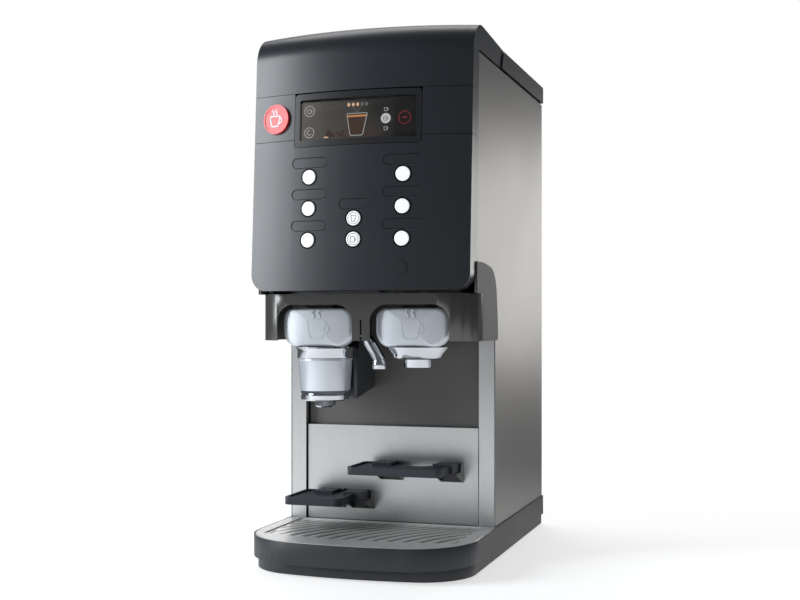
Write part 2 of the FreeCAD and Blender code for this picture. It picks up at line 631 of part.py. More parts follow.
def make_outlets():
    for word, side in (("left", "-"), ("right", "")):
        node(f"outlet_cover_{word}", cut(cover_blank(side, "0"), cover_blank(side, "2.5")))
        x = f"{side} outlet_spacing"
        cover_room = box((f"{x} - cover_width / 2 - 1", f"{x} + cover_width / 2 + 1"),
                         ("nozzle_front_y - 5", "cover_back + fit_gap"),
                         ("cover_low_z - fit_gap", "ceiling_z"))
        rail = box((f"{x} - 18", f"{x} + 18"), ("cover_back + fit_gap", "outlet_y + 45"),
                   ("nozzle_z + 9", "nozzle_z + arch_height - 1"))
        if word == "left":
            flare = cone("37", "flare_radius", (x, "outlet_y", "nozzle_z - 10"), "20")
            collar = rod("Z", "37", (x, "outlet_y", "nozzle_z - cone_drop + fit_gap"), "17")
            bore = rod("Z", "9", (x, "outlet_y", "nozzle_z - cone_drop - 1"), "42")
            node("outlet_body_left", cut(fuse(rail, flare, collar), bore, cover_room))
        else:
            flare = cone("26", "flare_radius", (x, "outlet_y", "nozzle_z - 25"), "35")
            boss = rod("Y", "10", (x, "outlet_y - 36", "nozzle_z - 16"), "23")
            ring = rod("Z", "ring_radius_right", (x, "outlet_y", "nozzle_z - 39"), "15")
            bore = rod("Z", "15", (x, "outlet_y", "nozzle_z - 40"), "27")
            node("outlet_body_right", cut(fuse(rail, flare, boss, ring), bore, cover_room))


def make_mixing_cone():
    """The cup under the left outlet: a tapered wall on a ring and a drip tip."""
    x = "-outlet_spacing"
    cup = cone("cone_low_radius", "cone_radius", (x, "outlet_y", "cone_z"), "cone_height")
    neck = rod("Z", "cone_low_radius - 0.7", (x, "outlet_y", "cone_z - 15"), "15")
    tip = rod("Z", "15.4", (x, "outlet_y", "cone_z - 25.3"), "11")
    inside = cone("cone_low_radius - 3", "cone_radius - 2.5", (x, "outlet_y", "cone_z"),
                  "cone_height + 1")
    drop = rod("Z", "12", (x, "outlet_y", "cone_z - 26"), "27")
    node("mixing_cone", cut(fuse(cup, neck, tip), inside, drop))


def make_spout():
    """Hot-water spout: a bent tube from the ceiling, upright at its tip."""
    points = [("-9", "ceiling_z - fit_gap"), ("-9", "nozzle_z + 8"), ("13", "nozzle_z - 28"),
              ("13", "nozzle_z - 41")]
    body = doc.addObject("PartDesign::Body", "Spout")
    path = body.newObject("Sketcher::SketchObject", "Path")
    path.AttachmentSupport = [(origin_plane(body, "XZ_Plane"), "")]
    path.MapMode = "FlatFace"
    corners = [Vector(value(across), value(up), 0) for across, up in points]
    for start, end in zip(corners, corners[1:]):
        path.addGeometry(Part.LineSegment(start, end))
    for index in range(2):
        path.addConstraint(Sketcher.Constraint("Coincident", index, 2, index + 1, 1))
    ends = [(0, 1), (1, 1), (2, 1), (2, 2)]
    for (line, end), texts, corner in zip(ends, points, corners):
        for kind, text, number in zip(("DistanceX", "DistanceY"), texts, corner):
            place = path.addConstraint(Sketcher.Constraint(kind, -1, 1, line, end, number))
            path.setExpression(f"Constraints[{place}]", ex(text))
    section = body.newObject("Sketcher::SketchObject", "Section")
    section.AttachmentSupport = [(origin_plane(body, "XY_Plane"), "")]
    section.MapMode = "FlatFace"
    section.setExpression(".AttachmentOffset.Base.z", ex(points[0][1]))
    for radius in (9.5, 6):
        circle = section.addGeometry(Part.Circle(corners[0].x * Vector(1, 0, 0), Vector(0, 0, 1),
                                                 radius))
        section.addConstraint(Sketcher.Constraint("Radius", circle, radius))
        place = section.addConstraint(Sketcher.Constraint("DistanceX", -1, 1, circle, 3,
                                                          corners[0].x))
        section.setExpression(f"Constraints[{place}]", points[0][0])
        section.addConstraint(Sketcher.Constraint("PointOnObject", circle, 3, -1))
    pipe = body.newObject("PartDesign::AdditivePipe", "Pipe")
    pipe.Profile = section
    pipe.Spine = (path, ["Edge1", "Edge2", "Edge3"])
    pipe.Transition = "Round corner"
    body.Tip = pipe
    put(body, y="outlet_y")
    lip = cut(rod("Z", "11", ("13", "outlet_y", "nozzle_z - 42"), "13"),
              rod("Z", "7", ("13", "outlet_y", "nozzle_z - 43"), "15"))
    node("hot_water_spout", fuse(body, lip))


def make_whipper_housing():
    """Dark mixing housing behind the left outlet, hollowed for the cone in front of it."""
    x = "-outlet_spacing"
    back = "rear_wall_y - fit_gap"
    points = [("outlet_y + 20", "nozzle_z - 88"), (back, "nozzle_z - 74"), (back, "nozzle_z + 4"),
              ("outlet_y + 20", "nozzle_z + 4")]
    block = prism("YZ_Plane", points, f"{x} - 43", f"{x} + 43")
    round_edges(block, "6", lambda edge: ALONG_Z(edge) and edge.CenterOfMass.y
                < value("outlet_y + 21"))
    hollow = rod("Z", "cone_radius + 1", (x, "outlet_y", "nozzle_z - 90"), "100")
    flare_room = rod("Z", "flare_radius + 1", (x, "outlet_y", "nozzle_z - 12"), "30")
    splash_room = box((f"{x} - 50", f"{x} + 50"), ("splash_y - 1", f"{back} + 1"),
                      ("0", "base_top + splash_height + 1"))
    node("whipper_housing", cut(block, hollow, flare_room, splash_room))


# ---------------------------------------------------------------- hood

def hood_blank(inset):
    """The hood's front, roll and top as one turned body, set in from the outside.

    Its axis leans back, so the top rises a little towards the front.
    """
    body = doc.addObject("PartDesign::Body", "Turned")
    front, rear = f"({inset}) - hood_radius", "275 - hood_radius"
    top = f"hood_length - ({inset})"
    turn = body.newObject("PartDesign::Revolution", "Turn")
    profile = outline(body, "YZ_Plane", [(front, "-12"), (rear, "-12"), (rear, top),
                                         (front, top)])
    turn.Profile = profile
    turn.ReferenceAxis = (profile, ["V_Axis"])
    turn.Angle = 70
    turn.Midplane = True
    body.Tip = turn
    height, farthest = value(top) - 0.01, -value(front) - 1

    def is_front_top(edge):
        ends = [vertex.Point for vertex in edge.Vertexes]
        return edge.CenterOfMass.z > height and all(
            math.hypot(point.x, point.y) > farthest for point in ends)
    round_edges(body, f"hood_roll - ({inset})", is_front_top)
    place = ("placement(vector(0; hood_front_y + hood_radius * cos(hood_lean);"
             " hood_z - hood_radius * sin(hood_lean)); rotation(0; 0; -hood_lean))")
    body.setExpression("Placement", ex(place))
    return body


def hood_profile(inset):
    """The hood's side outline as a prism, with rounded lower corners."""
    side, low = f"half - ({inset})", f"hood_z + ({inset})"
    ahead, above = "hood_front_y - 10", "total_height + 25"
    if inset == "0":
        points = [(ahead, low), (rear_line(low), low), (rear_line("band_z"), "band_z"),
                  ("hinge_y", "band_z"), ("hinge_y", above), (ahead, above)]
    else:
        points = [(ahead, low), ("hinge_y + 5", low), ("hinge_y + 5", above), (ahead, above)]
    body = prism("YZ_Plane", points, f"-({side})", side)
    bottom = value(low) + 0.01
    return round_edges(body, f"hood_corner - ({inset})",
                       lambda edge: ALONG_Y(edge) and edge.CenterOfMass.z < bottom)


def leaning_slab(ahead, behind, low, high, side="half + 5"):
    """A slab between two lines parallel to the hood's rear line."""
    points = [(rear_line(low, ahead), low), (rear_line(low, behind), low),
              (rear_line(high, behind), high), (rear_line(high, ahead), high)]
    return prism("YZ_Plane", points, f"-({side})", side)


def on_hood(obj, x, height, rise="0"):
    """Place an object on the hood's face, its +Z along the outward normal there."""
    y = (f"hood_front_y + (hood_radius - sqrt(hood_radius ^ 2 - ({x}) ^ 2)) / cos(hood_lean)"
         f" + (({height}) - hood_z) * tan(hood_lean)")
    yaw = f"asin(({x}) / hood_radius)"
    out = f"({rise})"
    place = (f"placement(vector(({x}) + {out} * cos(hood_lean) * sin({yaw}); "
             f"({y}) - {out} * cos(hood_lean) * cos({yaw}); ({height}) + {out} * sin(hood_lean)); "
             f"rotation({yaw}; 0; 90 - hood_lean))")
    obj.setExpression("Placement", ex(place))
    return obj


BUTTONS = {
    # name: x, height below the top of the machine
    "button_left_top": ("-button_column", "212"),
    "button_left_middle": ("-button_column", "258"),
    "button_left_bottom": ("-button_column", "304"),
    "button_right_top": ("button_column", "212"),
    "button_right_middle": ("button_column", "258"),
    "button_right_bottom": ("button_column", "304"),
    "button_cup": ("0", "274"),
    "button_jug": ("0", "304"),
}
LABELS = [(x, drop, "57") for x in ("-button_column", "button_column")
          for drop in ("191", "237", "283")] + [("0", "253", "46")]


def local_rod(radius, low, high):
    """A rod along the local +Z, for a solid that on_hood places as a whole."""
    return rod("Z", radius, ("0", "0", low), f"({high}) - ({low})")


def face_bore(radius, x, height):
    """A cutting rod square to the hood's face, from 8 mm behind it to 4 mm in front."""
    bore = doc.addObject("Part::Cylinder", "Bore")
    bind(bore, Radius=radius, Height="12")
    return on_hood(bore, x, height, "-8")


def local_plate(width, height, low, high, radius):
    """A plate square to the hood's normal, rounded at its corners, about the local origin."""
    across, up = f"({width}) / 2", f"({height}) / 2"
    body = prism("XY_Plane", [(f"-{across}", f"-{up}"), (across, f"-{up}"), (across, up),
                              (f"-{across}", up)], low, high)
    return round_edges(body, radius, ALONG_Z)


def make_hood():
    skin = hood_blank("0")
    outside = common(skin, hood_profile("0"))
    seam = rod("X", "seam_radius + seam_gap / 2", ("-half - 5", "hinge_y", "hinge_z"),
               "body_width + 10")
    shell = cut(outside, common(hood_blank("moulding"), hood_profile("moulding")), seam)

    far = "-hood_flank - 30"
    strip = leaning_slab("-rear_strip", "5", "hood_z - 5", "high_seam_z + 5")
    crown = box(("-half - 5", "half + 5"), ("hood_front_y - 10", "hinge_y + 5"),
                ("high_seam_z + seam_gap / 2", "total_height + 25"))
    node("hood_shell", common(shell, fuse(strip, crown)))

    bezel_room = on_hood(local_plate("bezel_width + 2 * seam_gap", "bezel_height + 2 * seam_gap",
                                     "-bezel_depth - 4", "8", "6 + seam_gap"), "0", "display_z")
    front = leaning_slab(far, "-rear_strip - seam_gap", "hood_z - 5",
                         "low_seam_z - seam_gap / 2")
    tools = [bezel_room]
    for x, drop in BUTTONS.values():
        tools.append(face_bore("ring_radius + 0.1", x, f"total_height - {drop}"))
    tools.append(face_bore("lock_radius + 0.2", "lock_x", "total_height - lock_drop"))
    y = ("hood_front_y - 5", "hood_front_y + 40")
    windows = [stadium(x, f"total_height - {drop}", width, "label_height", y)
               for x, drop, width in LABELS]
    floor = hood_blank("label_depth")
    tools.append(cut(fuse(*windows), floor))
    tools.append(box(("-pull_width / 2 - 0.5", "pull_width / 2 + 0.5"),
                     ("hood_front_y + 5", "hood_front_y + pull_back + 7"),
                     ("hood_z - 1", "hood_z + moulding + 0.5")))
    ears = [box(x, ("hood_front_y + pull_back - 5", "hood_front_y + pull_back + 5"),
                ("hood_z + 1", "hood_z + 13"))
            for x in (("-pull_width / 2 - 4", "-pull_width / 2 - fit_gap"),
                      ("pull_width / 2 + fit_gap", "pull_width / 2 + 4"))]
    tools.append(rod("X", "2.1", ("-pull_width / 2 - 5", "hood_front_y + pull_back", "hood_z + 8"),
                     "pull_width + 10"))
    node("fascia", cut(fuse(common(shell, front), *ears), *tools))

    plates = [stadium(x, f"total_height - {drop}", f"{width} - 0.8", "label_height - 0.8", y)
              for x, drop, width in LABELS]
    node("label_plates", common(fuse(*plates), cut(hood_blank("label_sink"), floor)))

    band = leaning_slab(far, "-rear_strip - seam_gap", "low_seam_z + seam_gap / 2",
                        "high_seam_z - seam_gap / 2")
    edge = "bezel_width / 2 + seam_gap"
    for name, x in (("hood_band_left", ("-half - 5", f"-({edge})")),
                    ("hood_band_right", (edge, "half + 5"))):
        side = box(x, ("hood_front_y - 10", "hinge_y"), ("hood_z", "total_height"))
        node(name, common(shell, band, side))

    # display: bezel, glass and screen module stand square to the face
    blank = on_hood(local_plate("bezel_width", "bezel_height", "-bezel_depth", "8", "6"),
                    "0", "display_z")
    window = on_hood(local_plate("window_width", "window_height", "-bezel_depth - 1", "9", "3"),
                     "0", "display_z")
    node("display_bezel", cut(common(blank, skin), window))
    node("display_glass", on_hood(local_plate(
        "window_width - 2 * fit_gap", "window_height - 2 * fit_gap", "-display_recess - 4",
        "-display_recess", "2.7"), "0", "display_z"))
    screen = on_hood(local_plate("window_width - 8", "window_height - 6", "-bezel_depth - 1",
                                 "-display_recess - 4 - fit_gap", "2"), "0", "display_z")
    carrier = on_hood(local_plate("window_width + 8", "window_height + 10", "-bezel_depth - 9",
                                  "-bezel_depth - fit_gap", "2"), "0", "display_z")
    node("screen_module", fuse(screen, carrier))

    # badge: a plain round disc with a raised rim
    badge = cut(local_rod("badge_radius", "0.1", "3.8"),
                local_rod("badge_radius - 2.4", "3", "4.8"))
    node("badge", on_hood(badge, "badge_edge - half", "display_z + 4.5"))

    node("hood_frame", leaning_slab("-2.5 - fit_gap", "-fit_gap",
                                    "hood_z + moulding + fit_gap", "band_z - 30",
                                    "half - moulding - fit_gap - 22"))


def make_keypad():
    rings = []
    for name, (x, drop) in BUTTONS.items():
        height = f"total_height - {drop}"
        body = doc.addObject("PartDesign::Body", "Cap")
        stem = body.newObject("PartDesign::AdditiveCylinder", "Stem")
        bind(stem, Radius="button_radius", Height="12 + button_rise")
        body.Tip = stem
        top = value("12 + button_rise") - 0.01
        round_edges(body, "1.2", lambda edge: edge.CenterOfMass.z > top)
        node(name, on_hood(body, x, height, "-12"))
        ring = cut(fuse(local_rod("ring_radius", "-9", "0.6"),
                        local_rod("ring_radius + 2.5", "-5.2", "-3.5")),
                   local_rod("button_radius + fit_gap", "-10", "2"))
        rings.append(on_hood(ring, x, height))
    node("button_rings", fuse(*rings))

    board = local_plate("2 * button_column + 46", "126", "-24", "-22.4", "4")
    legs = [rod("Z", "4", (x, y, "-hood_flank + 3"), "hood_flank - 27")
            for x in ("-80", "80") for y in ("-52", "52")]
    node("keypad_board", on_hood(fuse(board, *legs), "0", "total_height - 258"))

    barrel = local_rod("lock_radius", "-24", "0.8")
    cam = box(("-5", "5"), ("-7", "18"), ("-26.5", "-23.5"))
    node("lock_barrel", on_hood(fuse(barrel, cam), "lock_x", "total_height - lock_drop"))

    # hood pull: a paddle under the fascia, its stub pins held in the fascia's two ears
    pull_y, low = "hood_front_y + pull_back", "hood_z - 3"
    width = ("-pull_width / 2", "pull_width / 2")
    paddle = box(width, ("hood_front_y + 8", pull_y), (low, "hood_z + 1"))
    barrel = rod("X", "4", (width[0], pull_y, "hood_z + 8"), "pull_width")
    stubs = rod("X", "2", (f"{width[0]} - 3.8", pull_y, "hood_z + 8"), "pull_width + 7.6")
    web = box(width, (f"{pull_y} - 2", f"{pull_y} + 2"), (low, "hood_z + 8"))
    node("hood_pull", fuse(paddle, barrel, stubs, web))


def make_hinge():
    """Two goose-neck arms hold the hood, and turn on pins in the chassis sides."""
    def under(back):
        """Height above the hinge of the hood's ceiling, this far in front of the hinge."""
        return (f"hinge_drop - moulding / cos(hood_lean) - 0.1"
                f" + ({back} - seam_reach) * tan(hood_lean)")
    neck = [(9, 4), (-7, 6), (-22, -52), (-60, -46), (-92, -22), (-92, under(92)),
            (-132, under(132)), (-132, -36), (-72, -72), (-4, -72)]
    points = [(f"hinge_y + ({y})", f"hinge_z + ({z})") for y, z in neck]
    arms, pins = [], []
    for side in (-1, 1):
        low = "arm_inner" if side > 0 else "-arm_inner - 4"
        plate = prism("YZ_Plane", points, low, f"{low} + 4")
        boss = rod("X", "11", (low, "hinge_y", "hinge_z"), "4")
        bore = rod("X", "hinge_pin_radius + 0.05", (f"{low} - 1", "hinge_y", "hinge_z"), "6")
        arms.append(cut(fuse(plate, boss), bore))
        inner, outer = "arm_inner - fit_gap", "arm_inner + 4 + fit_gap"
        spans = [("hinge_pin_radius", f"{inner} - 2.5", "chassis_x"),
                 ("hinge_pin_radius + 2.5", f"{inner} - 2.5", inner),
                 ("hinge_pin_radius + 3", outer, "chassis_x")]
        for radius, start, end in spans:
            first = start if side > 0 else f"-({end})"
            pins.append(rod("X", radius, (first, "hinge_y", "hinge_z"), f"({end}) - ({start})"))
    node("hinge_arms", fuse(*arms))
    node("hinge_pins", fuse(*pins))


# ---------------------------------------------------------------- inside

def make_cabinet():
    """Insulated cabinet for two concentrate packs, open at the front."""
    reach = "cabinet_width / 2"
    y = ("wall_y - 84 + 2", "wall_y - 84 + 2 + cabinet_depth")
    low, high = "cabinet_z", "cabinet_z + cabinet_height"
    inner = box((f"cabinet_wall - {reach}", f"{reach} - cabinet_wall"),
                (f"{y[0]} - 1", f"{y[1]} - cabinet_wall"),
                (f"{low} + cabinet_wall", f"{high} - cabinet_wall"))
    node("cool_cabinet", cut(box((f"-{reach}", reach), y, (low, high)), inner))
    floor = f"{low} + cabinet_wall"
    for word, side in (("left", "-"), ("right", "")):
        centre = f"{side} (pack_width / 2 + 2)"
        depth = (f"{y[0]} + 8", f"{y[1]} - cabinet_wall - 6")
        pack = prism("XY_Plane", [(f"{centre} - pack_width / 2", depth[0]),
                                  (f"{centre} + pack_width / 2", depth[0]),
                                  (f"{centre} + pack_width / 2", depth[1]),
                                  (f"{centre} - pack_width / 2", depth[1])],
                     f"{floor} + 22", f"{floor} + 22 + pack_height")
        round_edges(pack, "9", ALONG_Z)
        doser = box((f"{centre} - 32", f"{centre} + 32"), (f"{depth[0]} + 4", f"{depth[0]} + 90"),
                    (f"{floor} + 0.2", f"{floor} + 22"))
        node(f"product_pack_{word}", fuse(pack, doser))

    fan_y, fan_z = f"{y[1]} + fit_gap", f"{low} + cabinet_height - 80"
    side = "(fan_radius + 6)"
    frame = box((f"-{side}", side), (fan_y, f"{fan_y} + 38"),
                (f"{fan_z} - {side}", f"{fan_z} + {side}"))
    tunnel = rod("Y", "fan_radius + 1.5", ("0", f"{fan_y} + 12", fan_z), "30")
    axle = rod("Y", "3", ("0", f"{fan_y} + 8", fan_z), "26")
    node("cooling_module", fuse(cut(frame, tunnel), axle))
    hub = cut(rod("Y", "14", ("0", f"{fan_y} + 16", fan_z), "16"),
              rod("Y", "3.06", ("0", f"{fan_y} + 15", fan_z), "18"))
    blades = []
    for step in range(5):
        blade = doc.addObject("Part::Box", "Blade")
        bind(blade, Length="fan_radius - 12", Width="12", Height="2.2")
        turn = f"{step} * 72"
        place = (f"placement(vector(12 * cos({turn}); {fan_y} + 18; {fan_z} + 12 * sin({turn})); "
                 f"rotation(0; -({turn}); 0))")
        blade.setExpression("Placement", ex(place))
        blades.append(blade)
    node("fan_rotor", fuse(hub, *blades))


def make_water_system():
    boiler = doc.addObject("PartDesign::Body", "Boiler")
    tank = boiler.newObject("PartDesign::AdditiveCylinder", "Tank")
    tall = "min(boiler_height; deck_z - floor_top - 40)"
    bind(tank, Radius="boiler_radius", Height=tall)
    boiler.Tip = tank
    top = value(tall) - 0.01
    round_edges(boiler, "20", lambda edge: edge.CenterOfMass.z > top)
    node("boiler", put(boiler, "-60", "rear_wall_y + 160", "floor_top"))

    motors = [rod("Y", "motor_radius", (f"{side} outlet_spacing", "rear_wall_y + 1.4 + fit_gap",
                                        "nozzle_z - 36"), "70") for side in ("-", "")]
    node("whipper_motors", fuse(*motors))

    # inlet valve: a block on the floor with a threaded spigot through the rear panel
    z = "base_top + 60"
    block = box(("-112", "-68"), ("panel_back_y - 60", "panel_back_y - 22"), ("floor_top", f"{z} + 22"))
    spigot = rod("Y", "inlet_radius", ("-90", "panel_back_y - 24", z), "30")
    bore = rod("Y", "7", ("-90", "panel_back_y - 20", z), "30")
    node("inlet_valve", cut(fuse(block, spigot), bore))

    shell = box(("71", "119"), ("panel_back_y - 30", "panel_back_y"),
                ("base_top + 44.5", "base_top + 75.5"))
    flange = box(("66", "124"), ("panel_back_y + 0.1", "panel_back_y + 2.5"),
                 ("base_top + 40", "base_top + 80"))
    socket = box(("76", "114"), ("panel_back_y - 18", "panel_back_y + 3"),
                 ("base_top + 49", "base_top + 71"))
    blades = [box((f"95 + ({x}) - 1", f"95 + ({x}) + 1"),
                  ("panel_back_y - 19", "panel_back_y - 4"), ("base_top + 57", "base_top + 63"))
              for x in (-7, 0, 7)]
    node("mains_inlet", fuse(cut(fuse(shell, flange), socket), *blades))

    middle = "(floor_top + deck_z) / 2"
    board = box(("chassis_x - 9", "chassis_x - 7.4"), ("rear_wall_y + 60", "rear_wall_y + 220"),
                (f"{middle} - 65", f"{middle} + 65"))
    legs = [rod("X", "3", ("chassis_x - 7.5", f"rear_wall_y + {y}", f"{middle} + ({z})"),
                "7.5 - fit_gap") for y in (68, 212) for z in (-57, 57)]
    node("control_board", fuse(board, *legs))


def write_nodes():
    doc.recompute()
    faults = [obj.Label for obj in doc.Objects
              if "Invalid" in obj.State or "Error" in obj.State]
    faults += [solid.Label for solid in NODES
               if solid.Shape.isNull() or not solid.Shape.isValid() or not solid.Shape.Solids]
    if faults:
        raise RuntimeError("failed: " + ", ".join(faults))
    os.makedirs("parts", exist_ok=True)
    for solid in NODES:
        solid.Shape.exportStep(f"parts/{solid.Label}.step")
    print(len(NODES), "nodes")


make_base()
make_drip_tray()
make_feet()
make_chassis()
make_side_panels()
make_back_panel()
make_lid()
make_cup_area()
make_shelves()
make_nozzle_hood()
make_outlets()
make_mixing_cone()
make_spout()
make_whipper_housing()
make_hood()
make_keypad()
make_hinge()
make_cabinet()
make_water_system()
write_nodes()
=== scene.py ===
"""Looks of a counter-top hot coffee vending machine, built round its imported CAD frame.

Metres. +Z up, -Y is the front, +X is the viewer's right, and the floor is at zero.
"""
import math
import random

import bmesh
import bpy
from mathutils import Matrix, Vector


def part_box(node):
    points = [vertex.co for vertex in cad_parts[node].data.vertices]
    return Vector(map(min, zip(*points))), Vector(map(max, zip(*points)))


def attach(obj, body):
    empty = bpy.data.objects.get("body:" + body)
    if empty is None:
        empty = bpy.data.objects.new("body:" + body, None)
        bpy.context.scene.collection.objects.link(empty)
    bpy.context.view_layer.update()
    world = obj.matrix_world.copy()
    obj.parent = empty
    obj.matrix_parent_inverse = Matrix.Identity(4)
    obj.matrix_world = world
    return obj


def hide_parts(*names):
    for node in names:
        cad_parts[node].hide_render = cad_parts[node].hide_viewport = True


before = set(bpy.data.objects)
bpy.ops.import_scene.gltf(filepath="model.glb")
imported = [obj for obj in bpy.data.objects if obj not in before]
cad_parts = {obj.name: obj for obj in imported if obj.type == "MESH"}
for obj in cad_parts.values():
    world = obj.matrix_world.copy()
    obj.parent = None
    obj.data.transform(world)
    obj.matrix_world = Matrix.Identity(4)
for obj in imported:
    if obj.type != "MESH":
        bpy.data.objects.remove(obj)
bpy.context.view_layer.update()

MM = 0.001
WIDTH_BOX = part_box("fascia")
FRONT, HOOD_LOW = WIDTH_BOX[0].y, WIDTH_BOX[0].z
HALF = WIDTH_BOX[1].x

HOOD_CROWN = 22.5 * MM
HOOD_LEAN = math.radians(3.56)
HOOD_RADIUS = (HALF ** 2 + HOOD_CROWN ** 2) / (2 * HOOD_CROWN)
COVER_BOW = 220 * MM
GROOVE_PITCH = 22                       # mm
PICTURE_STRIP, PICTURE_DARK = -57, 54.8  # mm across the display, where its strips end and start
PICTURE_MIDDLE = 657.8 * MM
CARTON_BAND = (0.53, 0.60)
MERGE = 0.002 * MM
DISPLAY_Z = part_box("display_glass")[0].z * 0.5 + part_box("display_glass")[1].z * 0.5 - 0.6 * MM

scene = bpy.context.scene
random.seed(7)


# ---------------------------------------------------------------- camera, light and floor

def make_camera():
    """A level camera in front, a little to the right."""
    data = bpy.data.cameras.new("camera")
    data.lens = 55.04
    data.sensor_width = 36
    data.shift_y = 0.0278
    data.clip_start = 0.05
    data.clip_end = 60
    camera = bpy.data.objects.new("camera", data)
    camera.location = (0.5998, -1.8846, 0.3632)
    camera.rotation_euler = (math.radians(90), 0, math.radians(17.88))
    scene.collection.objects.link(camera)
    scene.camera = camera


def softbox(name, place, aim, size, power, tint=(1, 1, 1)):
    """A rectangular light that faces its aim point."""
    data = bpy.data.lights.new(name, "AREA")
    data.shape = "RECTANGLE"
    data.size, data.size_y = size
    data.energy = power
    data.color = tint
    light = bpy.data.objects.new(name, data)
    light.location = place
    light.rotation_euler = (Vector(aim) - Vector(place)).to_track_quat("-Z", "Y").to_euler()
    scene.collection.objects.link(light)


def make_studio():
    """A large soft key from the left, three weak fills and a white backdrop."""
    softbox("key_left", (-2.5, -1.7, 1.25), (0, -0.1, 0.45), (1.3, 2.0), 82, (0.92, 0.965, 1))
    softbox("overhead", (-0.3, 0.9, 2.6), (0, 0.1, 0.3), (2.0, 1.2), 18)
    softbox("back_right", (1.0, 2.5, 0.62), (0.17, 0.1, 0.42), (0.7, 0.8), 7.5, (1, 0.985, 0.96))
    softbox("rear_fill", (-0.9, 2.6, 1.5), (0, 0, 0.4), (1.4, 1.4), 14)

    world = bpy.data.worlds.new("studio")
    scene.world = world
    world.use_nodes = True
    tree = world.node_tree
    tree.nodes["Background"].inputs["Color"].default_value = (0.93, 0.96, 1, 1)
    tree.nodes["Background"].inputs["Strength"].default_value = 0.13
    backdrop = tree.nodes.new("ShaderNodeBackground")
    backdrop.inputs["Color"].default_value = (1, 1, 1, 1)
    seen = tree.nodes.new("ShaderNodeLightPath")
    blend = tree.nodes.new("ShaderNodeMixShader")
    tree.links.new(seen.outputs["Is Camera Ray"], blend.inputs[0])
    tree.links.new(tree.nodes["Background"].outputs[0], blend.inputs[1])
    tree.links.new(backdrop.outputs[0], blend.inputs[2])
    tree.links.new(blend.outputs[0], tree.nodes["World Output"].inputs["Surface"])
    scene.view_settings.view_transform = "Standard"


def make_floor():
    """A pale floor that fades into the white backdrop away from the machine."""
    mesh = bpy.data.meshes.new("floor")
    sweep = bmesh.new()
    bmesh.ops.create_grid(sweep, x_segments=2, y_segments=2, size=30)
    sweep.to_mesh(mesh)
    sweep.free()
    pale = Finish("floor_pale", (0.82, 0.82, 0.82), 0.85)
    far = ((pale.axis("X") - 0.3).power(2) + (pale.axis("Y") + 1.3).power(2)).power(0.5)
    pale.set({"Emission Color": (1, 1, 1, 1), "Emission Strength": 0.62,
              "Specular IOR Level": 0.0, "Alpha": pale.limit((2.35 - far) / 0.95)})
    mesh.materials.append(pale.material)
    floor = bpy.data.objects.new("floor", mesh)
    scene.collection.objects.link(floor)


# ---------------------------------------------------------------- shader helpers

class Value:
    """A number that varies over a surface; sums on it add Math nodes to its tree."""

    def __init__(self, tree, socket):
        self.tree = tree
        self.socket = socket

    def math(self, operation, first, second=None):
        node = self.tree.nodes.new("ShaderNodeMath")
        node.operation = operation
        for index, term in enumerate((first, second)):
            if isinstance(term, Value):
                self.tree.links.new(term.socket, node.inputs[index])
            elif term is not None:
                node.inputs[index].default_value = term
        return Value(self.tree, node.outputs[0])

    def __add__(self, other):
        return self.math("ADD", self, other)

    def __sub__(self, other):
        return self.math("SUBTRACT", self, other)

    def __rsub__(self, other):
        return self.math("SUBTRACT", other, self)

    def __mul__(self, other):
        return self.math("MULTIPLY", self, other)

    def __rtruediv__(self, other):
        return self.math("DIVIDE", other, self)

    def __truediv__(self, other):
        return self.math("DIVIDE", self, other)

    def __gt__(self, other):
        return self.math("GREATER_THAN", self, other)

    def __lt__(self, other):
        return self.math("LESS_THAN", self, other)

    def sine(self):
        return self.math("SINE", self)

    def size(self):
        return self.math("ABSOLUTE", self)

    def power(self, exponent):
        return self.math("POWER", self, exponent)

    __radd__ = __add__
    __rmul__ = __mul__


